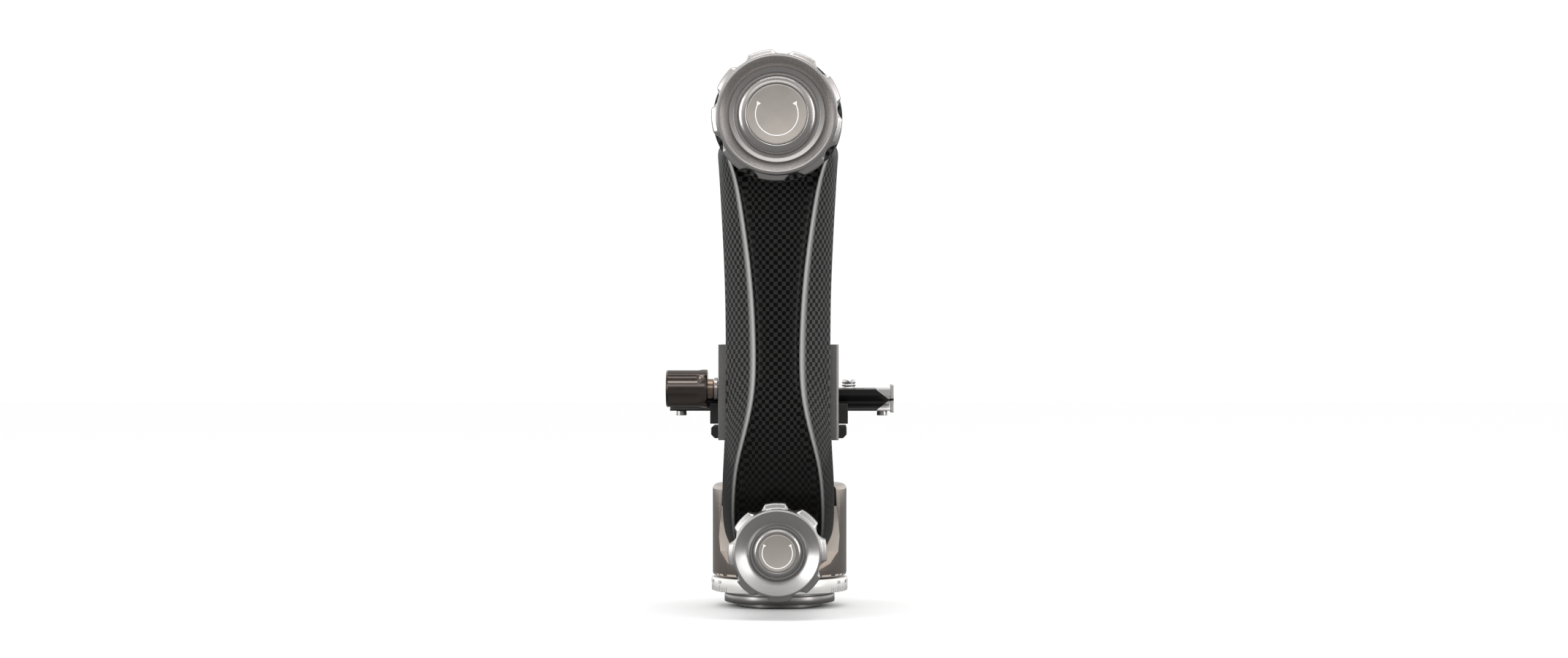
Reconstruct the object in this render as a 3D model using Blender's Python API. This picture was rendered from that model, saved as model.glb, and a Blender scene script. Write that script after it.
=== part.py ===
"""Alt-azimuth gimbal head: a carbon arm on a panning foot, with a tilting cradle that holds a lens plate.

Metres, +Z up along the pan axis. The origin is the centre of the face that meets the tripod.
The tilt axis runs along Y. The arm and the lock knobs are on the -Y side, and the lens lies along X.
"""

import math

import bmesh
import bpy
from mathutils import Matrix, Vector

MM = 0.001
GAP = 0.3 * MM  # between pieces that touch or run on each other

# Base
FACE_RADIUS = 18.8 * MM
FACE_STEP = 1.95 * MM
BASE_RADIUS = 24.5 * MM
BASE_TOP = 5.6 * MM
BASE_EDGE = 0.4 * MM
NECK_RADIUS = 22.5 * MM
RING_RADIUS = 30.3 * MM
RING_BOTTOM = 7.0 * MM
RING_HEIGHT = 6.1 * MM
RING_EDGE = 0.5 * MM
HUB_RADIUS = 15.0 * MM
SOCKET_RADIUS = 4.4 * MM  # crest radius of the 3/8 in tripod thread
INSERT_RADIUS = 7.0 * MM
INSERT_HEIGHT = 9.4 * MM
SPINDLE_RADIUS = 9.0 * MM
BASE_SCREW_CIRCLE = 20.8 * MM
BASE_SCREW_RADIUS = 1.1 * MM
BASE_SCREW_HEAD = 1.6 * MM
BASE_SCREW_DEPTH = 2.0 * MM
BASE_SCREWS = 3

# Foot
FOOT_RADIUS = 29.8 * MM
FOOT_CLEARANCE = 0.7 * MM  # the dark line between the scale ring and the foot
FOOT_HEIGHT = 40.6 * MM
FOOT_WALL = 5.0 * MM
FOOT_EDGE = 2.4 * MM
FLOOR_HEIGHT = 26.2 * MM  # the cup's floor, above the foot's underside
WASHER_RADIUS = 20.0 * MM
WASHER_THICK = 1.9 * MM
NUT_RADIUS = 12.0 * MM
NUT_HEIGHT = 4.0 * MM
HEEL_HEIGHT = 10.2 * MM
ARM_BOLT_INSET = 1.2 * MM  # from the middle between the spindle nut and the cup's wall
ARM_BOLT_ANGLE = 35.5  # degrees from X
ARM_BOLT_RADIUS = 2.0 * MM
ARM_BOLT_HEAD = 3.2 * MM
ARM_BOLT_LENGTH = 15.0 * MM
SOCKET_DEPTH = 2.0 * MM  # of the hexagon sockets in the screws

# Arm
TILT_HEIGHT = 212.5 * MM
BEND_INNER_RISE = 24.0 * MM  # where the arm's inner face starts to bend, above the foot
BEND_OUTER_RISE = 39.6 * MM  # where its crest starts to bend
TONGUE_INNER = -19.0 * MM
TONGUE_OUTER = -27.0 * MM
TONGUE_FLOOR = 3.7 * MM  # foot material under the tongue
ARM_INNER = -49.5 * MM
ARM_THICK = 20.5 * MM
HEAD_RADIUS = 27.5 * MM
HEAD_THICK = 21.5 * MM
HEAD_EDGE = 1.5 * MM

# Tilt axis
INSERT_OUTER = 17.7 * MM
BEARING_RADIUS = 13.0 * MM
BEARING_WIDTH = 6.0 * MM
SPACER_WALL = 2.5 * MM
AXLE_RADIUS = 6.0 * MM
AXLE_NUT_WIDTH = 2.2 * MM
NOSE_RADIUS = 11.7 * MM
PISTON_RADIUS = 8.0 * MM
INSERT_WALL = 3.0 * MM
TILT_WASHER_THICK = 1.9 * MM
TILT_WASHER_RADIUS = 22.0 * MM
DISC_RADIUS = 24.0 * MM
DISC_THICK = 5.8 * MM
FLANGE_RADIUS = 9.2 * MM
FLANGE_THICK = 2.8 * MM
AXLE_NUT_RADIUS = 9.0 * MM

# Rail and bracket
RAIL_HALF = 17.0 * MM
RAIL_THICK = 9.4 * MM
RAIL_STRAIGHT = 1.4 * MM
RAIL_FLANK = 4.5 * MM  # how far each flank of the dovetail leans in
RAIL_ABOVE = 21.5 * MM  # rail above the tilt axis
RAIL_RISE = 8.6 * MM  # foot's rim to the rail's lower end
WALL_SIDE = 9.1 * MM  # wall beside the rail
WALL_HEIGHT = 41.5 * MM
WALL_DROP = 0.4 * MM  # wall below the shelf
WALL_THICK = 6.3 * MM
WALL_EDGE = 0.8 * MM
CHEEK_THICK = 3.8 * MM
GIB_TRAVEL = 0.5 * MM
GIB_HEIGHT = 30.0 * MM
SLIDE_DOWN = 8.0 * MM
SLIDE_UP = 60.0 * MM
STOP_HEAD = 2.0 * MM
STOP_PROUD = 1.8 * MM
RAIL_SCREW_RADIUS = 2.0 * MM
RAIL_SCREW_HEAD = 3.5 * MM
RAIL_SCREW_PITCH = 12.0 * MM
SHELF_HALF = 29.65 * MM
SHELF_RISE = 20.8 * MM  # foot's rim to the shelf's underside
SHELF_THICK = 4.7 * MM
SHELF_BACK = 20.0 * MM
SHELF_CORNER = 1.6 * MM
BOSS_HALF = 22.0 * MM
BOSS_HEIGHT = 1.2 * MM
BOSS_INSET = 4.0 * MM
HEIGHT_KNOB_RISE = 22.3 * MM  # above the wall's lower edge
HEIGHT_KNOB_RADIUS = 8.3 * MM
HEIGHT_KNOB_LENGTH = 18.0 * MM
HEIGHT_FLUTES = 6
HEIGHT_FLUTE = 4.6 * MM
FLUTE_BITE = 1.1 * MM
HEIGHT_SHAFT = 4.2 * MM
HEIGHT_STUD = 3.0 * MM
HEIGHT_STANDOFF = 4.7 * MM  # cheek face to knob
COLLAR_THICK = 1.6 * MM
COLLAR_RADIUS = 4.75 * MM

# Clamp and lens plate
CLAMP_HALF = 30.25 * MM
CLAMP_FRONT = -22.0 * MM
CLAMP_BACK = 24.0 * MM
CLAMP_HEIGHT = 8.7 * MM
CLAMP_FLOOR = 5.3 * MM
JAW_THICK = 12.1 * MM
JAW_GAP = 0.9 * MM
JAW_LOBES = 6
JAW_STUD = 1.6 * MM
JAW_PIN = 1.4 * MM
JAW_PIN_X = 18.0 * MM
JAW_KNOB_RADIUS = 9.0 * MM
JAW_KNOB_LENGTH = 15.0 * MM
CLAMP_SCREW_X = 12.0 * MM
CLAMP_SCREW_Y = -8.0 * MM
CLAMP_SCREW_RADIUS = 2.0 * MM
CLAMP_SCREW_HEAD = 3.4 * MM
PLATE_HALF = 19.0 * MM
PLATE_LEFT = -48.0 * MM
PLATE_RIGHT = 48.9 * MM
PLATE_HEIGHT = 9.5 * MM
PLATE_FOOT = 0.6 * MM
PLATE_TAPER = 2.6 * MM
PLATE_NECK = 1.0 * MM
CAMERA_SCREW_X = 30.8 * MM
CAMERA_SCREW_RADIUS = 3.175 * MM
CAMERA_SCREW_HEAD = 5.5 * MM
CAMERA_SCREW_PROUD = 4.0 * MM
CAMERA_SCREW_SEAT = 3.2 * MM
SLOT_LEFT = 6.0 * MM
SLOT_RIGHT = 38.0 * MM
STOP_THICK = 1.5 * MM
STOP_HALF = 9.0 * MM
STOP_RISE = 1.8 * MM
STOP_BOLT = 1.5 * MM
STOP_BOLT_REACH = 7.0 * MM  # into the plate
STOP_BOLT_INSET = 0.2 * MM
SAFETY_RADIUS = 2.3 * MM
SAFETY_SHANK = 1.2 * MM
SAFETY_Y = -6.0 * MM
SAFETY_DROP = 2.0 * MM
SAFETY_LEFT_INSET = 4.5 * MM
SAFETY_RIGHT_INSET = 3.4 * MM

# Lock knobs
TILT_KNOB_REACH = 26.0 * MM  # in front of the arm's head
TILT_KNOB_LENGTH = 22.4 * MM
TILT_KNOB_RADIUS = 25.3 * MM
TILT_LOBE_HEIGHT = 2.2 * MM
TILT_LOBES = 9
TILT_CAP_RADIUS = 12.6 * MM
PAN_KNOB_RISE = 14.6 * MM  # above the foot's underside
PAN_KNOB_REACH = 10.0 * MM  # in front of the arm's crest
PAN_KNOB_LENGTH = 22.0 * MM
PAN_KNOB_RADIUS = 18.6 * MM
PAN_LOBE_HEIGHT = 2.4 * MM
PAN_LOBES = 8
PAN_CAP_RADIUS = 8.0 * MM
BUSH_RADIUS = 6.0 * MM
PAN_STUD = 4.0 * MM
SHOE_RADIUS = 4.5 * MM
SHOE_LENGTH = 10.7 * MM

TILT_DISH = 2.0 * MM  # the knob's centre lies this far behind its rim
TILT_BOSS = 14.2 * MM
TILT_CAVITY = 12.0 * MM  # depth of the knob's floor behind its rim
PAN_DISH = 1.6 * MM
PAN_BOSS = 10.5 * MM
PAN_CAVITY = 8.0 * MM
PAN_THREAD = 12.0 * MM  # how far the pan bush reaches into its knob
# Rings between a knob's cap and its rim: share of the way out, depth behind the rim
TILT_FACE = (
    (0.0394, 2.0 * MM),
    (0.1890, 2.6 * MM),
    (0.3228, 4.4 * MM),
    (0.3386, 6.2 * MM),
    (0.4016, 6.2 * MM),
    (0.4724, 4.3 * MM),
    (0.5748, 4.3 * MM),
    (0.8740, 0.0 * MM),
    (0.9528, 0.0 * MM),
    (1.0, 0.7 * MM),
    (1.0, 5.0 * MM),
)
PAN_FACE = (
    (0.1132, 1.6 * MM),
    (0.2075, 2.5 * MM),
    (0.2736, 6.0 * MM),
    (0.3302, 6.0 * MM),
    (0.3585, 4.2 * MM),
    (0.9245, 0.0 * MM),
    (1.0, 0.6 * MM),
    (1.0, 3.6 * MM),
)

# Outlines across the arm: place as a share of its height above the foot, down from the tilt axis or up from
# the foot; half width and half distance between crests, as shares of the cup's radius; depth of the valley
HEAD_FLARE = (
    (0.0411, 1.0847, 1.0081, 0.6 * MM),
    (0.1107, 1.0444, 0.8226, 2.2 * MM),
    (0.1708, 1.0202, 0.6976, 2.8 * MM),
    (0.2688, 0.9839, 0.5968, 3.2 * MM),
    (0.3700, 0.9516, 0.5040, 3.2 * MM),
)
ARM_WAIST = (
    (0.5326, 0.9274, 0.4395, 3.2 * MM),
    (0.4339, 0.9194, 0.4032, 3.2 * MM),
    (0.3327, 0.9153, 0.3911, 3.2 * MM),
)
SHOULDER = 0.27  # where the arm is widest, as a share of its thickness
# Round the bend: half width and half distance between crests, as shares; depth of the valley; shoulder
ARM_BEND = (
    (0.9234, 0.4194, 3.2 * MM, 0.27),
    (0.9395, 0.5565, 3.4 * MM, 0.29),
    (0.9556, 0.7177, 3.6 * MM, 0.32),
    (0.9758, 0.7661, 3.6 * MM, 0.36),
    (0.9839, 0.7742, 3.2 * MM, 0.40),
    (0.9839, 0.7419, 2.4 * MM, 0.44),
    (0.9798, 0.6855, 1.4 * MM, 0.48),
    (0.9597, 0.5968, 0.8 * MM, 0.52),
    (0.9274, 0.5081, 0.4 * MM, 0.54),
)
# Edge of the foot's opening: half width as a share of the foot's radius, drop below the rim, and the facet's
# width and depth
FACET_EDGE = (
    (0.8255, -1.0 * MM, 0.8 * MM, 1.0 * MM),
    (0.8255, 9.4 * MM, 1.4 * MM, 1.6 * MM),
    (0.8255, 16.4 * MM, 2.4 * MM, 3.0 * MM),
    (0.7383, 22.9 * MM, 5.0 * MM, 6.0 * MM),
    (0.6208, 29.4 * MM, 7.5 * MM, 9.0 * MM),
    (0.5034, 34.4 * MM, 7.5 * MM, 8.0 * MM),
    (0.4027, 37.9 * MM, 4.0 * MM, 3.0 * MM),
)

# Places that follow from the sizes above
RING_TOP = RING_BOTTOM + RING_HEIGHT
FOOT_BOTTOM = RING_TOP + FOOT_CLEARANCE
FOOT_TOP = FOOT_BOTTOM + FOOT_HEIGHT
FLOOR = FOOT_BOTTOM + FLOOR_HEIGHT
CUP_RADIUS = FOOT_RADIUS - FOOT_WALL
ARM_RISE = TILT_HEIGHT - FOOT_TOP
ARM_CREST = ARM_INNER - ARM_THICK
HEAD_FRONT = ARM_INNER - HEAD_THICK
TILT_KNOB_FRONT = HEAD_FRONT - TILT_KNOB_REACH
TILT_LOBE_RADIUS = TILT_KNOB_RADIUS + TILT_LOBE_HEIGHT
PAN_KNOB_FRONT = ARM_CREST - PAN_KNOB_REACH
PAN_KNOB_Z = FOOT_BOTTOM + PAN_KNOB_RISE
PAN_LOBE_RADIUS = PAN_KNOB_RADIUS + PAN_LOBE_HEIGHT
SPINDLE_BOTTOM = INSERT_HEIGHT + 2 * GAP
NUT_TOP = FLOOR - 2.0 * MM
NUT_SEAT = NUT_TOP - NUT_HEIGHT - GAP
ARM_BOLT_CIRCLE = (NUT_RADIUS + CUP_RADIUS) / 2 - ARM_BOLT_INSET
HEEL_BOTTOM = FLOOR + GAP
HEEL_TOP = HEEL_BOTTOM + HEEL_HEIGHT
INSERT_BACK = ARM_INNER - GAP
INSERT_FRONT = HEAD_FRONT - 1.0 * MM
CAVITY_FRONT = INSERT_FRONT + INSERT_WALL
INNER_BEARING = INSERT_BACK - BEARING_WIDTH
OUTER_BEARING = CAVITY_FRONT + GAP + AXLE_NUT_WIDTH + GAP
TILT_WASHER_BACK = ARM_INNER + GAP + TILT_WASHER_THICK
DISC_FRONT = TILT_WASHER_BACK + GAP
DISC_BACK = DISC_FRONT + DISC_THICK
RAIL_FRONT = DISC_BACK + GAP
RAIL_BACK = RAIL_FRONT + RAIL_THICK
CHANNEL_FLOOR = RAIL_BACK + GAP
WALL_BACK = CHANNEL_FLOOR + WALL_THICK
LIP_FRONT = RAIL_FRONT + 1.0 * MM
RAIL_NECK = RAIL_HALF - RAIL_FLANK
RAIL_TOP = TILT_HEIGHT + RAIL_ABOVE
RAIL_BOTTOM = FOOT_TOP + RAIL_RISE
SLOPE_BACK = RAIL_BACK - RAIL_STRAIGHT
SLOPE_FRONT = SLOPE_BACK - RAIL_FLANK
SHELF_BOTTOM = FOOT_TOP + SHELF_RISE
SHELF_TOP = SHELF_BOTTOM + SHELF_THICK
WALL_HALF = RAIL_HALF + WALL_SIDE
WALL_BOTTOM = SHELF_BOTTOM - WALL_DROP
WALL_TOP = WALL_BOTTOM + WALL_HEIGHT
GIB_OUTER = WALL_HALF - CHEEK_THICK - GIB_TRAVEL - GAP
HEIGHT_KNOB_Y = (LIP_FRONT + CHANNEL_FLOOR) / 2
HEIGHT_KNOB_Z = WALL_BOTTOM + HEIGHT_KNOB_RISE
CLAMP_BOTTOM = SHELF_TOP + BOSS_HEIGHT + GAP
CLAMP_TOP = CLAMP_BOTTOM + CLAMP_HEIGHT
CLAMP_DECK = CLAMP_BOTTOM + CLAMP_FLOOR
PLATE_BOTTOM = CLAMP_DECK + GAP
PLATE_TOP = PLATE_BOTTOM + PLATE_HEIGHT
JAW_FRONT = CLAMP_BACK - JAW_THICK
JAW_AXIS_Z = CLAMP_BOTTOM + CLAMP_FLOOR / 2
HEAD_BORE = INSERT_OUTER + GAP
NOSE_FRONT = TILT_KNOB_FRONT + TILT_CAVITY + 2.0 * MM
TONGUE_BOTTOM = FOOT_BOTTOM + TONGUE_FLOOR

AXES = {"X": Vector((1, 0, 0)), "Y": Vector((0, 1, 0)), "Z": Vector((0, 0, 1))}

# Each body turns or slides about its own empty: name, parent, place of its joint
BODIES = (
    ("base", None, (0, 0, 0)),
    ("pan", "base", (0, 0, FOOT_BOTTOM)),
    ("pan_brake", "pan", (0, -SPINDLE_RADIUS, PAN_KNOB_Z)),
    ("pan_knob", "pan_brake", (0, PAN_KNOB_FRONT, PAN_KNOB_Z)),
    ("tilt_brake", "pan", (0, INSERT_FRONT, TILT_HEIGHT)),
    ("tilt_knob", "tilt_brake", (0, TILT_KNOB_FRONT, TILT_HEIGHT)),
    ("cradle", "pan", (0, DISC_FRONT, TILT_HEIGHT)),
    ("bracket", "cradle", (0, CHANNEL_FLOOR, WALL_BOTTOM)),
    ("height_gib", "bracket", (-GIB_OUTER, HEIGHT_KNOB_Y, HEIGHT_KNOB_Z)),
    ("height_knob", "height_gib", (-WALL_HALF, HEIGHT_KNOB_Y, HEIGHT_KNOB_Z)),
    ("jaw", "bracket", (0, JAW_FRONT, JAW_AXIS_Z)),
    ("jaw_knob", "jaw", (0, CLAMP_BACK, JAW_AXIS_Z)),
    ("lens_plate", "bracket", (0, 0, PLATE_BOTTOM)),
)
PLACES = {name: Vector(place) for name, parent, place in BODIES}


def clear_scene():
    for thing in list(bpy.data.objects):
        bpy.data.objects.remove(thing)


def make_bodies():
    made = {}
    for name, parent, place in BODIES:
        empty = bpy.data.objects.new(f"{name}_axis", None)
        empty.empty_display_size = 10 * MM
        bpy.context.scene.collection.objects.link(empty)
        if parent:
            empty.parent = made[parent]
            empty.location = Vector(place) - PLACES[parent]
        made[name] = empty
    return made


def finish_of(name, colour, roughness, metallic):
    finish = bpy.data.materials.new(name)
    finish.use_nodes = True
    shader = finish.node_tree.nodes["Principled BSDF"]
    shader.inputs["Base Color"].default_value = (*colour, 1)
    shader.inputs["Roughness"].default_value = roughness
    shader.inputs["Metallic"].default_value = metallic
    finish.diffuse_color = (*colour, 1)
    return finish


def piece(name, body, shape, finish):
    """An object of a bmesh in world coordinates, hung on its body's empty."""
    mesh = bpy.data.meshes.new(name)
    bmesh.ops.recalc_face_normals(shape, faces=shape.faces)
    shape.to_mesh(mesh)
    shape.free()
    mesh.transform(Matrix.Translation(-PLACES[body]))
    mesh.shade_smooth()
    mesh.set_sharp_from_angle(angle=math.radians(35))
    mesh.materials.append(finish)
    thing = bpy.data.objects.new(name, mesh)
    thing.parent = bodies[body]
    bpy.context.scene.collection.objects.link(thing)
    return thing


def combine(thing, body, shape, operation="DIFFERENCE"):
    """Cuts a shape out of an object, or joins it on."""
    name = f"{thing.name}_{operation.lower()}_{len(thing.modifiers)}"
    helper = piece(name, body, shape, thing.active_material)
    helper.hide_render = True
    helper.display_type = "WIRE"
    modifier = thing.modifiers.new(helper.name, "BOOLEAN")
    modifier.operation = operation
    modifier.solver = "EXACT"
    modifier.object = helper


def soften(thing, width, segments=1):
    modifier = thing.modifiers.new("Edges", "BEVEL")
    modifier.width = width
    modifier.segments = segments
    modifier.limit_method = "ANGLE"
    modifier.angle_limit = math.radians(40)


def turned(profile, axis="Z", centre=(0, 0, 0), segments=40, closed=False):
    """A shape turned from (radius, place along the axis). A closed profile makes a ring."""
    shape = bmesh.new()
    along = AXES[axis]
    outward = AXES["Y"] if axis == "X" else AXES["X"]
    centre = Vector(centre)
    points = [shape.verts.new(centre + outward * radius + along * place) for radius, place in profile]
    ends = points[1:] + points[:1] if closed else points[1:]
    edges = [shape.edges.new(pair) for pair in zip(points, ends)]
    bmesh.ops.spin(
        shape, geom=points + edges, cent=centre, axis=along, angle=math.tau, steps=segments, use_merge=True
    )
    bmesh.ops.remove_doubles(shape, verts=shape.verts, dist=0.001 * MM)
    return shape


def rod(radius, low, high, axis="Z", centre=(0, 0, 0), segments=20, edge=0.0):
    """A cylinder along an axis, with its ends chamfered."""
    side = [(radius, low), (radius, high)]
    if edge:
        side = [(radius - edge, low), (radius, low + edge), (radius, high - edge), (radius - edge, high)]
    return turned([(0, low), *side, (0, high)], axis, centre, segments)


def tube(outer, inner, low, high, axis="Z", centre=(0, 0, 0), segments=32, edge=0.0):
    """A ring with its outer edges chamfered."""
    side = [(outer, low), (outer, high)]
    if edge:
        side = [(outer - edge, low), (outer, low + edge), (outer, high - edge), (outer - edge, high)]
    return turned([(inner, low), *side, (inner, high)], axis, centre, segments, closed=True)


def swept(sections):
    """A closed shape through a row of sections that have as many points each."""
    shape = bmesh.new()
    rings = [[shape.verts.new(point) for point in section] for section in sections]
    for first, second in zip(rings, rings[1:]):
        for k in range(len(first)):
            follow = (k + 1) % len(first)
            shape.faces.new((first[k], first[follow], second[follow], second[k]))
    shape.faces.new(rings[0])
    shape.faces.new(reversed(rings[-1]))
    return shape


def prism(outline, axis, low, high):
    """An outline in the two directions across an axis, in X, Y, Z order, extruded along it."""
    order = {"X": lambda a, b, c: (c, a, b), "Y": lambda a, b, c: (a, c, b), "Z": lambda a, b, c: (a, b, c)}
    return swept([[order[axis](a, b, place) for a, b in outline] for place in (low, high)])


def block(low, high):
    outline = [(low[0], low[1]), (high[0], low[1]), (high[0], high[1]), (low[0], high[1])]
    return prism(outline, "Z", low[2], high[2])


def mirrored(half):
    """An outline closed across the first direction's zero, from the points on its positive side."""
    return [*half, *((-a, b) for a, b in reversed(half) if a)]


def lobed(profile, centre, lobes, tip, turn):
    """A knob turned about Y from (radius, y, share of the lobes), with scalloped lobes out to the tip."""
    shape = bmesh.new()
    pitch = math.tau / lobes
    crest = 0.26 * pitch  # half of a lobe's flat top
    valley = pitch - 2 * crest
    steps = [-crest, 0, crest, crest + valley / 4, crest + valley / 2, crest + 3 * valley / 4]
    angles = [(turn + lobe * pitch + step, step) for lobe in range(lobes) for step in steps]
    rings = []
    for radius, place, share in profile:
        ring = []
        for angle, step in angles if radius else angles[:1]:
            dip = math.sin(math.pi * max(0.0, step - crest) / valley)
            reach = radius + share * (tip - radius) * (1 - dip)
            across = centre[0] + reach * math.cos(angle)
            up = centre[2] + reach * math.sin(angle)
            ring.append(shape.verts.new((across, place, up)))
        rings.append(ring)
    for first, second in zip(rings, rings[1:]):
        for k in range(len(angles)):
            follow = (k + 1) % len(angles)
            corners = [first[k % len(first)], first[follow % len(first)]]
            corners += [second[follow % len(second)], second[k % len(second)]]
            shape.faces.new(list(dict.fromkeys(corners)))
    return shape


def hex_socket(radius, low, high, axis, centre):
    return turned([(0, low), (radius, low), (radius, high), (0, high)], axis, centre, segments=6)


def make_base():
    plate = piece(
        "base_plate",
        "base",
        turned(
            [
                (INSERT_RADIUS + GAP, 0),
                (FACE_RADIUS, 0),
                (FACE_RADIUS, FACE_STEP),
                (BASE_RADIUS - BASE_EDGE, FACE_STEP),
                (BASE_RADIUS, FACE_STEP + BASE_EDGE),
                (BASE_RADIUS, BASE_TOP - BASE_EDGE),
                (BASE_RADIUS - BASE_EDGE, BASE_TOP),
                (NECK_RADIUS, BASE_TOP),
                (NECK_RADIUS, RING_BOTTOM - GAP),
                (HUB_RADIUS, RING_BOTTOM - GAP),
                (HUB_RADIUS, RING_TOP - GAP),
                (SPINDLE_RADIUS + GAP, RING_TOP - GAP),
                (SPINDLE_RADIUS + GAP, INSERT_HEIGHT + GAP),
                (INSERT_RADIUS + GAP, INSERT_HEIGHT + GAP),
            ],
            segments=40,
            closed=True,
        ),
        SATIN,
    )
    piece("thread_insert", "base", tube(INSERT_RADIUS, SOCKET_RADIUS, GAP, INSERT_HEIGHT, segments=32), STEEL)
    spindle = rod(SPINDLE_RADIUS, SPINDLE_BOTTOM, NUT_TOP, segments=28, edge=GAP)
    piece("pan_spindle", "base", spindle, STEEL)
    ring = piece(
        "scale_ring",
        "base",
        tube(RING_RADIUS, HUB_RADIUS + GAP, RING_BOTTOM, RING_TOP, segments=56, edge=RING_EDGE),
        SILVER,
    )
    head_top = FACE_STEP + BASE_SCREW_DEPTH
    shank_top = RING_BOTTOM + 0.7 * RING_HEIGHT
    for k in range(BASE_SCREWS):
        angle = math.tau * (k + 0.25) / BASE_SCREWS
        centre = (BASE_SCREW_CIRCLE * math.cos(angle), BASE_SCREW_CIRCLE * math.sin(angle), 0)
        stepped = [
            (0, FACE_STEP - GAP),
            (BASE_SCREW_HEAD + GAP, FACE_STEP - GAP),
            (BASE_SCREW_HEAD + GAP, head_top + GAP),
            (BASE_SCREW_RADIUS + GAP, head_top + GAP),
            (BASE_SCREW_RADIUS + GAP, shank_top + GAP),
            (0, shank_top + GAP),
        ]
        combine(plate, "base", turned(stepped, centre=centre, segments=12))
        bore = BASE_SCREW_RADIUS + GAP
        combine(ring, "base", rod(bore, RING_BOTTOM - GAP, shank_top + GAP, "Z", centre, 12))
        screw = [
            (0, FACE_STEP + GAP),
            (BASE_SCREW_HEAD, FACE_STEP + GAP),
            (BASE_SCREW_HEAD, head_top),
            (BASE_SCREW_RADIUS, head_top),
            (BASE_SCREW_RADIUS, shank_top),
            (0, shank_top),
        ]
        piece(f"base_screw_{k + 1}", "base", turned(screw, centre=centre, segments=12), BLACK_STEEL)
    nut = tube(NUT_RADIUS, SPINDLE_RADIUS + GAP, NUT_SEAT + GAP, NUT_TOP, segments=28, edge=GAP)
    piece("spindle_nut", "base", nut, STEEL)


def arm_sections(grow=0.0, bend_only=False):
    """The arm's closed outlines, from the head down to the tongue. Each is ridged outside and flat inside."""
    sections = []
    rows = [(TILT_HEIGHT - drop * ARM_RISE, *shape) for drop, *shape in HEAD_FLARE]
    rows += [(FOOT_TOP + rise * ARM_RISE, *shape) for rise, *shape in ARM_WAIST]
    for height, half, crest, dip in [] if bend_only else rows:
        inner = Vector((0, ARM_INNER, height))
        outer = Vector((0, ARM_CREST, height))
        sections.append(arm_outline(inner, outer, half, crest, dip, SHOULDER, grow))
    bend_inner = FOOT_TOP + BEND_INNER_RISE
    bend_outer = FOOT_TOP + BEND_OUTER_RISE
    for k, (half, crest, dip, shoulder) in enumerate(ARM_BEND):
        angle = math.radians(90) * k / (len(ARM_BEND) - 1)
        away, along = 1 - math.cos(angle), 1 - math.sin(angle)
        inner_y = ARM_INNER + (TONGUE_INNER - ARM_INNER) * away
        outer_y = ARM_CREST + (TONGUE_OUTER - ARM_CREST) * away
        inner = Vector((0, inner_y, HEEL_TOP + (bend_inner - HEEL_TOP) * along))
        outer = Vector((0, outer_y, TONGUE_BOTTOM + (bend_outer - TONGUE_BOTTOM) * along))
        sections.append(arm_outline(inner, outer, half, crest, dip, shoulder, grow))
    if grow:
        sections[-1] = [point + Vector((0, grow, 0)) for point in sections[-1]]
    return sections


def arm_outline(inner, outer, half, crest, dip, shoulder, grow):
    thick = (outer - inner).length
    out = (outer - inner) / thick
    half *= CUP_RADIUS
    crest *= CUP_RADIUS
    right = [
        (0, thick - dip),
        (crest - 2.4 * MM, thick - dip),
        (crest - 0.7 * MM, thick - 0.12 * dip),
        (crest + 0.5 * MM, thick),
        (crest + 0.5 * (half - crest), thick - 0.40 * (1 - shoulder) * thick),
        (half - 0.5 * MM, (shoulder + 0.06) * thick),
        (half, (shoulder - 0.06) * thick),
        (half - 1.6 * MM, 2.0 * MM),
        (half - 5.0 * MM, 0),
        (0, 0),
    ]
    grown = []
    for across, height in right:
        wide = across + grow if across else 0
        tall = height + (grow if height > shoulder * thick else -grow)
        grown.append((wide, tall))
    return [inner + Vector((across, 0, 0)) + out * height for across, height in mirrored(grown)]


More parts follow.
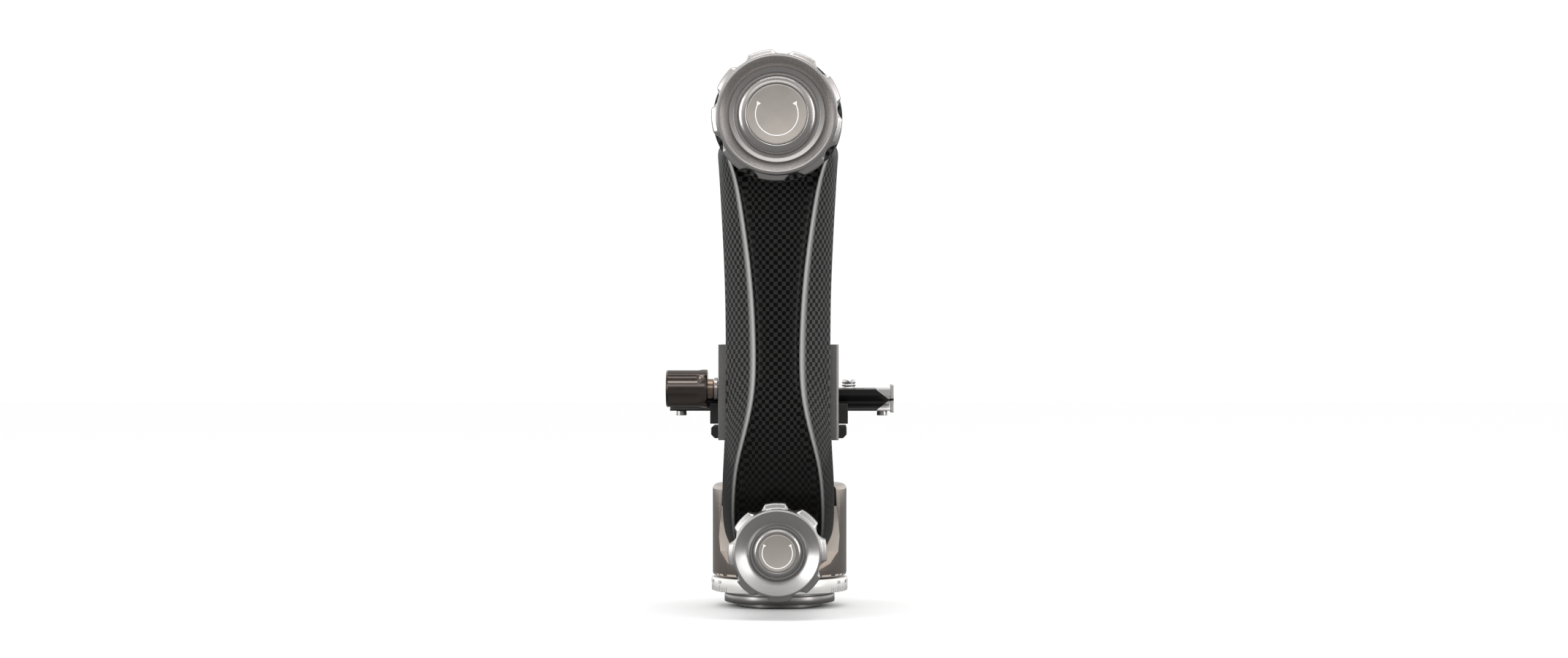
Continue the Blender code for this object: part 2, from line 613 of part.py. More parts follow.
def make_foot():
    washer_bottom = RING_TOP + GAP
    washer_top = washer_bottom + WASHER_THICK
    washer_inner = SPINDLE_RADIUS + 3.0 * MM
    washer = tube(WASHER_RADIUS, washer_inner, washer_bottom, washer_top)
    piece("pan_thrust_washer", "pan", washer, BLACK_PLASTIC)
    recess = washer_top + GAP
    corner = [
        (FOOT_RADIUS - FOOT_EDGE * (1 - math.sin(angle)), FOOT_TOP - FOOT_EDGE * (1 - math.cos(angle)))
        for angle in (math.radians(90), math.radians(60), math.radians(30), 0)
    ]
    profile = [
        (SPINDLE_RADIUS + GAP, recess),
        (WASHER_RADIUS + GAP, recess),
        (WASHER_RADIUS + GAP, FOOT_BOTTOM),
        (FOOT_RADIUS - 1.2 * MM, FOOT_BOTTOM),
        (FOOT_RADIUS, FOOT_BOTTOM + 1.2 * MM),
        *corner,
        (CUP_RADIUS + 0.6 * MM, FOOT_TOP),
        (CUP_RADIUS, FOOT_TOP - 0.6 * MM),
        (CUP_RADIUS, FLOOR),
        (NUT_RADIUS + 0.5 * MM, FLOOR),
        (NUT_RADIUS + 0.5 * MM, NUT_SEAT),
        (SPINDLE_RADIUS + GAP, NUT_SEAT),
    ]
    foot = piece("foot", "pan", turned(profile, segments=52, closed=True), CHAMPAGNE)
    combine(foot, "pan", swept(arm_sections(grow=1.5 * GAP, bend_only=True)))
    for side in (1, -1):
        combine(foot, "pan", foot_facet(side))
    bush_end = -SPINDLE_RADIUS - SHOE_LENGTH - 4.0 * MM
    pan_axis = (0, 0, PAN_KNOB_Z)
    combine(foot, "pan", rod(BUSH_RADIUS + GAP, -FOOT_RADIUS - FOOT_WALL, bush_end, "Y", pan_axis))
    combine(foot, "pan", rod(SHOE_RADIUS + GAP, -FOOT_RADIUS, 0, "Y", pan_axis))
    bush_front = PAN_KNOB_FRONT + PAN_KNOB_LENGTH - PAN_THREAD
    bush = tube(BUSH_RADIUS, PAN_STUD + GAP, bush_front, bush_end - GAP, "Y", pan_axis, 24)
    piece("pan_lock_bush", "pan", bush, STEEL)
    return foot, pan_axis


def foot_facet(side):
    """A wedge along one edge of the foot's front opening, which widens downwards."""
    sections = []
    for share, drop, wide, deep in FACET_EDGE:
        half = share * FOOT_RADIUS
        surface = -math.sqrt(FOOT_RADIUS**2 - half**2)
        rim = half + wide
        points = [
            (half - 2.0 * MM, surface - 6.0 * MM),
            (half - 2.0 * MM, surface + deep),
            (rim, -math.sqrt(FOOT_RADIUS**2 - rim**2)),
            (rim + 2.0 * MM, surface - 6.0 * MM),
        ]
        sections.append([Vector((side * x, y, FOOT_TOP - drop)) for x, y in points])
    return swept(sections)


def make_arm(foot, pan_axis):
    arm = piece("arm", "pan", swept(arm_sections()), CARBON)
    tilt_axis = (0, 0, TILT_HEIGHT)
    combine(arm, "pan", rod(HEAD_RADIUS, HEAD_FRONT, ARM_INNER, "Y", tilt_axis, 48, HEAD_EDGE), "UNION")
    combine(arm, "pan", rod(CUP_RADIUS - GAP, HEEL_BOTTOM, HEEL_TOP, segments=40, edge=1.0 * MM), "UNION")
    combine(arm, "pan", rod(HEAD_BORE, HEAD_FRONT - GAP, ARM_INNER + GAP, "Y", tilt_axis, 36))
    combine(arm, "pan", rod(BUSH_RADIUS + GAP, HEAD_FRONT, 0, "Y", pan_axis, 24))
    head_seat = HEEL_TOP - ARM_BOLT_HEAD - GAP
    bolt_foot = HEEL_TOP - ARM_BOLT_LENGTH
    for side, name in ((1, "arm_bolt_right"), (-1, "arm_bolt_left")):
        angle = math.radians(ARM_BOLT_ANGLE)
        centre = (side * ARM_BOLT_CIRCLE * math.cos(angle), ARM_BOLT_CIRCLE * math.sin(angle), 0)
        combine(arm, "pan", rod(ARM_BOLT_HEAD + GAP, head_seat - GAP, HEEL_TOP + GAP, "Z", centre, 20))
        combine(arm, "pan", rod(ARM_BOLT_RADIUS + GAP, HEEL_BOTTOM - GAP, HEEL_TOP, "Z", centre, 16))
        combine(foot, "pan", rod(ARM_BOLT_RADIUS + GAP, bolt_foot - GAP, FLOOR + GAP, "Z", centre, 16))
        bolt_profile = [
            (0, bolt_foot),
            (ARM_BOLT_RADIUS, bolt_foot),
            (ARM_BOLT_RADIUS, head_seat),
            (ARM_BOLT_HEAD, head_seat),
            (ARM_BOLT_HEAD, HEEL_TOP - GAP),
            (0, HEEL_TOP - GAP),
        ]
        bolt = piece(name, "pan", turned(bolt_profile, centre=centre, segments=20), BLACK_STEEL)
        socket_floor = HEEL_TOP - GAP - SOCKET_DEPTH
        combine(bolt, "pan", hex_socket(0.5 * ARM_BOLT_HEAD, socket_floor, HEEL_TOP, "Z", centre))
    make_tilt_bearings(tilt_axis)


def make_tilt_bearings(tilt_axis):
    cavity = BEARING_RADIUS + GAP
    insert_profile = [
        (INSERT_OUTER, INSERT_FRONT),
        (INSERT_OUTER, INSERT_BACK),
        (cavity, INSERT_BACK),
        (cavity, CAVITY_FRONT),
        (PISTON_RADIUS + GAP, CAVITY_FRONT),
        (PISTON_RADIUS + GAP, NOSE_FRONT),
        (NOSE_RADIUS, NOSE_FRONT),
        (NOSE_RADIUS, INSERT_FRONT),
    ]
    insert = turned(insert_profile, "Y", tilt_axis, 32, closed=True)
    piece("head_insert", "pan", insert, SATIN)
    bore = AXLE_RADIUS + GAP
    outer = tube(BEARING_RADIUS, bore, OUTER_BEARING, OUTER_BEARING + BEARING_WIDTH, "Y", tilt_axis, 32)
    piece("tilt_bearing_outer", "pan", outer, STEEL)
    inner = tube(BEARING_RADIUS, bore, INNER_BEARING, INNER_BEARING + BEARING_WIDTH, "Y", tilt_axis, 32)
    piece("tilt_bearing_inner", "pan", inner, STEEL)
    spacer_front = OUTER_BEARING + BEARING_WIDTH + GAP
    spacer_bore = BEARING_RADIUS - SPACER_WALL
    spacer = tube(BEARING_RADIUS, spacer_bore, spacer_front, INNER_BEARING - GAP, "Y", tilt_axis, 32)
    piece("bearing_spacer", "pan", spacer, SATIN)


def face_rings(face, cap, rim):
    """The rings of a knob's face, from its cap out to its rim."""
    return [(cap + share * (rim - cap), depth, 0) for share, depth in face]


def make_knobs():
    front = TILT_KNOB_FRONT
    edge = TILT_KNOB_RADIUS
    profile = [
        (0, TILT_DISH + 1.4 * MM, 0),
        (TILT_CAP_RADIUS + GAP, TILT_DISH + 1.4 * MM, 0),
        *face_rings(TILT_FACE, TILT_CAP_RADIUS, edge),
        (edge, 6.4 * MM, 1),
        (edge, 16.8 * MM, 1),
        (edge - 1.0 * MM, 18.2 * MM, 0.6),
        (TILT_BOSS, 19.9 * MM, 0),
        (TILT_BOSS, TILT_KNOB_LENGTH, 0),
        (NOSE_RADIUS + GAP, TILT_KNOB_LENGTH, 0),
        (NOSE_RADIUS + GAP, TILT_CAVITY, 0),
        (0, TILT_CAVITY, 0),
    ]
    centre = (0, 0, TILT_HEIGHT)
    placed = [(radius, front + depth, share) for radius, depth, share in profile]
    knob = lobed(placed, centre, TILT_LOBES, TILT_LOBE_RADIUS, math.radians(-95))
    piece("tilt_lock_knob", "tilt_knob", knob, TITANIUM)
    cap = rod(TILT_CAP_RADIUS, front + TILT_DISH, front + TILT_DISH + 1.1 * MM, "Y", centre, 40, 0.2 * MM)
    piece("tilt_lock_cap", "tilt_knob", cap, SANDBLAST)
    piston = rod(PISTON_RADIUS, front + TILT_CAVITY + GAP, CAVITY_FRONT, "Y", centre, 28, 0.5 * MM)
    piece("tilt_brake_piston", "tilt_brake", piston, BRASS)

    front = PAN_KNOB_FRONT
    edge = PAN_KNOB_RADIUS
    profile = [
        (0, PAN_DISH + 1.1 * MM, 0),
        (PAN_CAP_RADIUS + GAP, PAN_DISH + 1.1 * MM, 0),
        (PAN_CAP_RADIUS + GAP, PAN_DISH, 0),
        *face_rings(PAN_FACE, PAN_CAP_RADIUS, edge),
        (edge, 4.8 * MM, 1),
        (edge, 13.4 * MM, 1),
        (edge - 1.6 * MM, 15.2 * MM, 0.3),
        (PAN_BOSS, 16.8 * MM, 0),
        (PAN_BOSS, PAN_KNOB_LENGTH, 0),
        (BUSH_RADIUS + GAP, PAN_KNOB_LENGTH, 0),
        (BUSH_RADIUS + GAP, PAN_CAVITY, 0),
        (0, PAN_CAVITY, 0),
    ]
    centre = (0, 0, PAN_KNOB_Z)
    placed = [(radius, front + depth, share) for radius, depth, share in profile]
    knob = lobed(placed, centre, PAN_LOBES, PAN_LOBE_RADIUS, math.radians(93))
    piece("pan_lock_knob", "pan_knob", knob, TITANIUM)
    cap = rod(PAN_CAP_RADIUS, front + PAN_DISH, front + PAN_DISH + 0.8 * MM, "Y", centre, 32, 0.2 * MM)
    piece("pan_lock_cap", "pan_knob", cap, SANDBLAST)
    shoe_front = -SPINDLE_RADIUS - GAP - SHOE_LENGTH
    stud = rod(PAN_STUD, front + PAN_CAVITY + GAP, shoe_front - GAP, "Y", centre, 20, 0.4 * MM)
    piece("pan_lock_stud", "pan_knob", stud, STEEL)
    shoe = rod(SHOE_RADIUS, shoe_front, -SPINDLE_RADIUS - GAP, "Y", centre, 24, 0.4 * MM)
    piece("pan_brake_shoe", "pan_brake", shoe, BRASS)


def make_cradle():
    tilt_axis = (0, 0, TILT_HEIGHT)
    axle_profile = [
        (0, CAVITY_FRONT + GAP),
        (AXLE_RADIUS, CAVITY_FRONT + GAP),
        (AXLE_RADIUS, DISC_BACK - GAP - FLANGE_THICK),
        (FLANGE_RADIUS, DISC_BACK - GAP - FLANGE_THICK),
        (FLANGE_RADIUS, DISC_BACK - GAP),
        (0, DISC_BACK - GAP),
    ]
    piece("tilt_axle", "cradle", turned(axle_profile, "Y", tilt_axis, 32), STEEL)
    nut_front = CAVITY_FRONT + GAP
    nut = tube(AXLE_NUT_RADIUS, AXLE_RADIUS + GAP, nut_front, nut_front + AXLE_NUT_WIDTH, "Y", tilt_axis, 24)
    piece("axle_nut", "cradle", nut, STEEL)
    washer_inner = AXLE_RADIUS + 3.0 * MM
    washer = tube(TILT_WASHER_RADIUS, washer_inner, ARM_INNER + GAP, TILT_WASHER_BACK, "Y", tilt_axis, 36)
    piece("tilt_thrust_washer", "cradle", washer, BLACK_PLASTIC)
    seat = DISC_BACK - 2 * GAP - FLANGE_THICK
    disc_profile = [
        (AXLE_RADIUS + GAP, DISC_FRONT),
        (DISC_RADIUS - 0.8 * MM, DISC_FRONT),
        (DISC_RADIUS, DISC_FRONT + 0.8 * MM),
        (DISC_RADIUS, DISC_BACK),
        (FLANGE_RADIUS + GAP, DISC_BACK),
        (FLANGE_RADIUS + GAP, seat),
        (AXLE_RADIUS + GAP, seat),
    ]
    disc = piece("hub_disc", "cradle", turned(disc_profile, "Y", tilt_axis, 40, closed=True), GREY_ANODISED)
    dovetail = [
        (RAIL_NECK, RAIL_FRONT),
        (RAIL_NECK, SLOPE_FRONT),
        (RAIL_HALF, SLOPE_BACK),
        (RAIL_HALF, RAIL_BACK),
    ]
    rail = piece("swing_rail", "cradle", prism(mirrored(dovetail), "Z", RAIL_BOTTOM, RAIL_TOP), GREY_ANODISED)
    for side, name in ((1, "rail_screw_upper"), (-1, "rail_screw_lower")):
        centre = (0, 0, TILT_HEIGHT + side * RAIL_SCREW_PITCH)
        head = RAIL_BACK - GAP - RAIL_SCREW_HEAD
        tip = DISC_FRONT + 2.0 * MM
        combine(rail, "cradle", rod(RAIL_SCREW_HEAD + GAP, head - GAP, RAIL_BACK + GAP, "Y", centre, 20))
        combine(rail, "cradle", rod(RAIL_SCREW_RADIUS + GAP, RAIL_FRONT - GAP, head, "Y", centre, 16))
        combine(disc, "cradle", rod(RAIL_SCREW_RADIUS + GAP, tip - GAP, DISC_BACK + GAP, "Y", centre, 16))
        screw_profile = [
            (0, tip),
            (RAIL_SCREW_RADIUS, tip),
            (RAIL_SCREW_RADIUS, head),
            (RAIL_SCREW_HEAD, head),
            (RAIL_SCREW_HEAD, RAIL_BACK - GAP),
            (0, RAIL_BACK - GAP),
        ]
        screw = piece(name, "cradle", turned(screw_profile, "Y", centre, 20), BLACK_STEEL)
        socket = hex_socket(0.5 * RAIL_SCREW_HEAD, RAIL_BACK - GAP - SOCKET_DEPTH, RAIL_BACK, "Y", centre)
        combine(screw, "cradle", socket)
    low_stop = WALL_BOTTOM - SLIDE_DOWN - GAP - STOP_HEAD
    high_stop = WALL_TOP + SLIDE_UP + GAP + STOP_HEAD
    for height, name in ((low_stop, "rail_stop_lower"), (high_stop, "rail_stop_upper")):
        centre = (0, 0, height)
        shank = STOP_HEAD - 0.7 * MM
        tip = RAIL_FRONT + 2.0 * MM
        combine(rail, "cradle", rod(shank + GAP, tip - GAP, RAIL_BACK + GAP, "Y", centre, 12))
        stop_profile = [
            (0, tip),
            (shank, tip),
            (shank, RAIL_BACK + GAP),
            (STOP_HEAD, RAIL_BACK + GAP),
            (STOP_HEAD, RAIL_BACK + GAP + STOP_PROUD),
            (0, RAIL_BACK + GAP + STOP_PROUD),
        ]
        piece(name, "cradle", turned(stop_profile, "Y", centre, 16), BLACK_STEEL)
    soften(rail, 0.5 * MM)
    rail.modifiers.move(len(rail.modifiers) - 1, 0)


def make_bracket():
    neck = RAIL_NECK + GAP
    wide = RAIL_HALF + GAP
    cheek = WALL_HALF - CHEEK_THICK
    round_edge = WALL_HALF - WALL_EDGE
    outline = [
        (-WALL_HALF, LIP_FRONT),
        (-cheek, LIP_FRONT),
        (-cheek, CHANNEL_FLOOR),
        (wide, CHANNEL_FLOOR),
        (wide, SLOPE_BACK),
        (neck, SLOPE_FRONT),
        (neck, LIP_FRONT),
        (round_edge, LIP_FRONT),
        (WALL_HALF, LIP_FRONT + WALL_EDGE),
        (WALL_HALF, WALL_BACK - WALL_EDGE),
        (round_edge, WALL_BACK),
        (-round_edge, WALL_BACK),
        (-WALL_HALF, WALL_BACK - WALL_EDGE),
    ]
    bracket = piece("bracket", "bracket", prism(outline, "Z", WALL_BOTTOM, WALL_TOP), GREY_ANODISED)
    shelf_outline = [
        (SHELF_HALF - SHELF_CORNER, SHELF_BOTTOM),
        (SHELF_HALF, SHELF_BOTTOM + SHELF_CORNER),
        (SHELF_HALF, SHELF_TOP),
    ]
    shelf = prism(mirrored(shelf_outline), "Y", WALL_BACK - 2.0 * MM, SHELF_BACK)
    combine(bracket, "bracket", shelf, "UNION")
    boss_top = SHELF_TOP + BOSS_HEIGHT
    boss_low = (-BOSS_HALF, CLAMP_FRONT + BOSS_INSET, SHELF_TOP - MM)
    boss = block(boss_low, (BOSS_HALF, SHELF_BACK - BOSS_INSET, boss_top))
    combine(bracket, "bracket", boss, "UNION")

    knob_axis = (0, HEIGHT_KNOB_Y, HEIGHT_KNOB_Z)
    combine(bracket, "bracket", rod(HEIGHT_STUD + GAP, -WALL_HALF - MM, -cheek + MM, "X", knob_axis, 20))
    gib_outline = [
        (-neck, LIP_FRONT),
        (-neck, SLOPE_FRONT),
        (-wide, SLOPE_BACK),
        (-wide, RAIL_BACK),
        (-GIB_OUTER, RAIL_BACK),
        (-GIB_OUTER, LIP_FRONT),
    ]
    gib = prism(gib_outline, "Z", HEIGHT_KNOB_Z - GIB_HEIGHT / 2, HEIGHT_KNOB_Z + GIB_HEIGHT / 2)
    piece("height_gib", "height_gib", gib, BRASS)
    collar_inner = -WALL_HALF - GAP
    collar_outer = collar_inner - COLLAR_THICK
    collar = tube(COLLAR_RADIUS, HEIGHT_STUD + GAP, collar_outer, collar_inner, "X", knob_axis, 24)
    piece("height_collar", "height_knob", collar, TITANIUM)
    knob_inner = -WALL_HALF - HEIGHT_STANDOFF
    knob_outer = knob_inner - HEIGHT_KNOB_LENGTH
    bore_end = knob_inner - 3.0 * MM
    stud_profile = [
        (0, bore_end),
        (HEIGHT_SHAFT, bore_end),
        (HEIGHT_SHAFT, collar_outer - GAP),
        (HEIGHT_STUD, collar_outer - GAP),
        (HEIGHT_STUD, -GIB_OUTER - GAP),
        (0, -GIB_OUTER - GAP),
    ]
    piece("height_lock_stud", "height_knob", turned(stud_profile, "X", knob_axis, 24), STEEL)
    knob_profile = [
        (0, knob_outer),
        (HEIGHT_KNOB_RADIUS - 0.7 * MM, knob_outer),
        (HEIGHT_KNOB_RADIUS, knob_outer + 0.7 * MM),
        (HEIGHT_KNOB_RADIUS, knob_inner - 0.4 * MM),
        (HEIGHT_KNOB_RADIUS - 0.4 * MM, knob_inner),
        (HEIGHT_SHAFT + GAP, knob_inner),
        (HEIGHT_SHAFT + GAP, bore_end - GAP),
        (0, bore_end - GAP),
    ]
    knob = piece("height_lock_knob", "height_knob", turned(knob_profile, "X", knob_axis, 32), GUNMETAL)
    for k in range(HEIGHT_FLUTES):
        angle = math.tau * (k + 0.5) / HEIGHT_FLUTES
        reach = HEIGHT_KNOB_RADIUS + HEIGHT_FLUTE - FLUTE_BITE
        centre = (0, HEIGHT_KNOB_Y + reach * math.cos(angle), HEIGHT_KNOB_Z + reach * math.sin(angle))
        flute = rod(HEIGHT_FLUTE, knob_outer + 1.4 * MM, knob_inner - 4.0 * MM, "X", centre, 20)
        combine(knob, "height_knob", flute)
    return bracket


def make_clamp(bracket):
    foot_half = PLATE_HALF + GAP
    neck_half = PLATE_HALF - PLATE_TAPER + GAP
    foot_top = PLATE_BOTTOM + PLATE_FOOT
    body_back = JAW_FRONT - JAW_GAP
    body_outline = [
        (CLAMP_FRONT, CLAMP_BOTTOM),
        (CLAMP_FRONT, CLAMP_TOP),
        (-neck_half, CLAMP_TOP),
        (-foot_half, foot_top),
        (-foot_half, CLAMP_DECK),
        (body_back, CLAMP_DECK),
        (body_back, CLAMP_BOTTOM),
    ]
    body = piece("clamp_body", "bracket", prism(body_outline, "X", -CLAMP_HALF, CLAMP_HALF), GREY_ANODISED)
    jaw_outline = [
        (CLAMP_BACK, CLAMP_BOTTOM),
        (CLAMP_BACK, CLAMP_TOP),
        (neck_half, CLAMP_TOP),
        (foot_half, foot_top),
        (foot_half, CLAMP_DECK),
        (JAW_FRONT, CLAMP_DECK),
        (JAW_FRONT, CLAMP_BOTTOM),
    ]
    jaw = piece("clamp_jaw", "jaw", prism(jaw_outline, "X", -CLAMP_HALF, CLAMP_HALF), GREY_ANODISED)
    axis = (0, 0, JAW_AXIS_Z)
    combine(body, "bracket", rod(JAW_STUD + GAP, -GAP, body_back + GAP, "Y", axis, 16))
    combine(jaw, "jaw", rod(JAW_STUD + GAP, JAW_FRONT - GAP, CLAMP_BACK + GAP, "Y", axis, 16))
    for side, name in ((1, "jaw_pin_right"), (-1, "jaw_pin_left")):
        centre = (side * JAW_PIN_X, 0, JAW_AXIS_Z)
        pin_end = CLAMP_BACK - 2.0 * MM
        combine(body, "bracket", rod(JAW_PIN + GAP, 4.0 * MM, body_back + GAP, "Y", centre, 12))
        combine(jaw, "jaw", rod(JAW_PIN + GAP, JAW_FRONT - GAP, pin_end + GAP, "Y", centre, 12))
        piece(name, "bracket", rod(JAW_PIN, 4.0 * MM + GAP, pin_end, "Y", centre, 12), STEEL)
    knob_front = CLAMP_BACK + GAP
    knob_back = knob_front + JAW_KNOB_LENGTH
    bore_end = knob_front + 6.0 * MM
    piece("jaw_stud", "jaw_knob", rod(JAW_STUD, 0, bore_end - GAP, "Y", axis, 16), STEEL)
    knob_profile = [
        (0, knob_back, 0),
        (0.5 * JAW_KNOB_RADIUS, knob_back, 0),
        (JAW_KNOB_RADIUS - 1.6 * MM, knob_back - 0.6 * MM, 0),
        (JAW_KNOB_RADIUS - 0.8 * MM, knob_back - 1.6 * MM, 1),
        (JAW_KNOB_RADIUS - 0.8 * MM, knob_front + 5.0 * MM, 1),
        (0.6 * JAW_KNOB_RADIUS, knob_front + 3.0 * MM, 0),
        (0.6 * JAW_KNOB_RADIUS, knob_front, 0),
        (JAW_STUD + GAP, knob_front, 0),
        (JAW_STUD + GAP, bore_end, 0),
        (0, bore_end, 0),
    ]
    knob = lobed(knob_profile, axis, JAW_LOBES, JAW_KNOB_RADIUS, 0.0)
    piece("clamp_knob", "jaw_knob", knob, TITANIUM)
    head_top = SHELF_BOTTOM + CLAMP_SCREW_HEAD
    tip = CLAMP_DECK - 1.5 * MM
    for side, name in ((1, "clamp_screw_right"), (-1, "clamp_screw_left")):
        centre = (side * CLAMP_SCREW_X, CLAMP_SCREW_Y, 0)
        seat = CLAMP_SCREW_HEAD + GAP
        bore = CLAMP_SCREW_RADIUS + GAP
        combine(bracket, "bracket", rod(seat, SHELF_BOTTOM - MM, head_top + GAP, "Z", centre, 20))
        combine(bracket, "bracket", rod(bore, head_top, CLAMP_BOTTOM, "Z", centre, 16))
        combine(body, "bracket", rod(bore, CLAMP_BOTTOM - MM, tip + GAP, "Z", centre, 16))
        screw_profile = [
            (0, SHELF_BOTTOM + GAP),
            (CLAMP_SCREW_HEAD, SHELF_BOTTOM + GAP),
            (CLAMP_SCREW_HEAD, head_top),
            (CLAMP_SCREW_RADIUS, head_top),
            (CLAMP_SCREW_RADIUS, tip),
            (0, tip),
        ]
        screw = piece(name, "bracket", turned(screw_profile, centre=centre, segments=20), BLACK_STEEL)
        socket_top = SHELF_BOTTOM + SOCKET_DEPTH
        combine(screw, "bracket", hex_socket(0.5 * CLAMP_SCREW_HEAD, SHELF_BOTTOM, socket_top, "Z", centre))


def make_plate():
    neck_half = PLATE_HALF - PLATE_TAPER
    foot_top = PLATE_BOTTOM + PLATE_FOOT
    neck_bottom = foot_top + PLATE_TAPER
    half = [
        (PLATE_HALF, PLATE_BOTTOM),
        (PLATE_HALF, foot_top),
        (neck_half, neck_bottom),
        (neck_half, neck_bottom + PLATE_NECK),
        (PLATE_HALF, neck_bottom + PLATE_NECK + PLATE_TAPER),
        (PLATE_HALF, PLATE_TOP),
    ]
    bar = prism(mirrored(half), "X", PLATE_LEFT, PLATE_RIGHT)
    plate = piece("lens_plate", "lens_plate", bar, BLACK_ANODISED)
    head_top = PLATE_BOTTOM + CAMERA_SCREW_SEAT
    slot_half = CAMERA_SCREW_RADIUS + GAP
    wide_half = CAMERA_SCREW_HEAD + GAP
    slot = block((SLOT_LEFT, -slot_half, PLATE_BOTTOM), (SLOT_RIGHT, slot_half, PLATE_TOP + MM))
    combine(plate, "lens_plate", slot)
    margin = wide_half - slot_half
    pocket = block(
        (SLOT_LEFT - margin, -wide_half, PLATE_BOTTOM - MM), (SLOT_RIGHT + margin, wide_half, head_top + GAP)
    )
    combine(plate, "lens_plate", pocket)
    centre = (CAMERA_SCREW_X, 0, 0)
    screw_profile = [
        (0, PLATE_BOTTOM + GAP),
        (CAMERA_SCREW_HEAD, PLATE_BOTTOM + GAP),
        (CAMERA_SCREW_HEAD, head_top),
        (CAMERA_SCREW_RADIUS, head_top),
        (CAMERA_SCREW_RADIUS, PLATE_TOP + CAMERA_SCREW_PROUD - 0.5 * MM),
        (CAMERA_SCREW_RADIUS - 0.5 * MM, PLATE_TOP + CAMERA_SCREW_PROUD),
        (0, PLATE_TOP + CAMERA_SCREW_PROUD),
    ]
    screw = piece("camera_screw", "lens_plate", turned(screw_profile, centre=centre, segments=28), STEEL)
    socket = hex_socket(0.4 * CAMERA_SCREW_HEAD, PLATE_BOTTOM, PLATE_BOTTOM + SOCKET_DEPTH, "Z", centre)
    combine(screw, "lens_plate", socket)
    stop_left = PLATE_RIGHT + GAP
    stop_right = stop_left + STOP_THICK
    stop_mid = (PLATE_BOTTOM + PLATE_TOP) / 2
    stop_low = (stop_left, -STOP_HALF, PLATE_BOTTOM - SAFETY_DROP / 2)
    stop = block(stop_low, (stop_right, STOP_HALF, PLATE_TOP + STOP_RISE))
    stop = piece("end_stop", "lens_plate", stop, BLACK_ANODISED)
    bolt_axis = (0, 0, stop_mid)
    bolt_end = PLATE_RIGHT - STOP_BOLT_REACH
    combine(plate, "lens_plate", rod(STOP_BOLT + GAP, bolt_end, PLATE_RIGHT + MM, "X", bolt_axis, 16))
    combine(stop, "lens_plate", rod(STOP_BOLT + GAP, PLATE_RIGHT, stop_right + MM, "X", bolt_axis, 16))
    bolt = rod(STOP_BOLT, bolt_end + GAP, stop_right - STOP_BOLT_INSET, "X", bolt_axis, 16)
    piece("end_stop_bolt", "lens_plate", bolt, BLACK_STEEL)
    tip = PLATE_BOTTOM + 3.0 * MM
    safety_right = PLATE_RIGHT - SAFETY_RIGHT_INSET
    safety_left = PLATE_LEFT + SAFETY_LEFT_INSET
    for place, name in ((safety_right, "safety_screw_right"), (safety_left, "safety_screw_left")):
        centre = (place, SAFETY_Y, 0)
        combine(plate, "lens_plate", rod(SAFETY_SHANK + GAP, PLATE_BOTTOM - MM, tip + GAP, "Z", centre, 12))
        safety_profile = [
            (0, PLATE_BOTTOM - SAFETY_DROP - GAP),
            (SAFETY_RADIUS, PLATE_BOTTOM - SAFETY_DROP - GAP),
            (SAFETY_RADIUS, PLATE_BOTTOM - GAP),
            (SAFETY_SHANK, PLATE_BOTTOM - GAP),
            (SAFETY_SHANK, tip),
            (0, tip),
        ]
        piece(name, "lens_plate", turned(safety_profile, centre=centre, segments=20), STEEL)


clear_scene()
bodies = make_bodies()
SATIN = finish_of("satin_aluminium", (0.40, 0.39, 0.38), 0.32, 1.0)
SILVER = finish_of("silver_aluminium", (0.80, 0.79, 0.77), 0.30, 1.0)
TITANIUM = finish_of("titanium_grey_aluminium", (0.47, 0.45, 0.44), 0.30, 1.0)
CHAMPAGNE = finish_of("champagne_aluminium", (0.50, 0.46, 0.42), 0.32, 1.0)
SANDBLAST = finish_of("sandblasted_aluminium", (0.42, 0.40, 0.39), 0.55, 1.0)
GREY_ANODISED = finish_of("grey_anodised_aluminium", (0.20, 0.19, 0.19), 0.38, 1.0)
GUNMETAL = finish_of("gunmetal_aluminium", (0.16, 0.14, 0.13), 0.34, 1.0)
BLACK_ANODISED = finish_of("black_anodised_aluminium", (0.03, 0.03, 0.03), 0.42, 0.6)
CARBON = finish_of("carbon_fibre", (0.02, 0.02, 0.02), 0.25, 0.0)
STEEL = finish_of("stainless_steel", (0.60, 0.59, 0.58), 0.25, 1.0)
BLACK_STEEL = finish_of("black_oxide_steel", (0.06, 0.06, 0.06), 0.40, 0.8)
BRASS = finish_of("brass", (0.60, 0.46, 0.22), 0.35, 1.0)
BLACK_PLASTIC = finish_of("black_bearing_plastic", (0.03, 0.03, 0.03), 0.50, 0.0)

make_base()
make_arm(*make_foot())
make_knobs()
make_cradle()
make_clamp(make_bracket())
make_plate()
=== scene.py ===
import math

import bpy
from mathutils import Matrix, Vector


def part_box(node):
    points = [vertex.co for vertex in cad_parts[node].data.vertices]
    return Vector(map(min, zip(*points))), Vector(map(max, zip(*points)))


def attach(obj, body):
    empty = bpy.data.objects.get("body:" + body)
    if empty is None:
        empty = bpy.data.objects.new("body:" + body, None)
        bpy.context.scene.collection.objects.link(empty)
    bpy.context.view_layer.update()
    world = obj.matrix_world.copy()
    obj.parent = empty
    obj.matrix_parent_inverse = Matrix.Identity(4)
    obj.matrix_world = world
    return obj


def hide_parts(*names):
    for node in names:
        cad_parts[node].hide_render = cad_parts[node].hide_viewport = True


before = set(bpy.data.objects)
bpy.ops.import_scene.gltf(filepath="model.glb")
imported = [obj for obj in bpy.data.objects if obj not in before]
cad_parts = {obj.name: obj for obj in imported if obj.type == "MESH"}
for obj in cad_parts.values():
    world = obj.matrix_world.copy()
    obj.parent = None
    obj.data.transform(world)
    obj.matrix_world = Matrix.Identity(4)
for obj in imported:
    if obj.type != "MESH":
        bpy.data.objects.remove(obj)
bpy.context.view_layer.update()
mm = 0.001

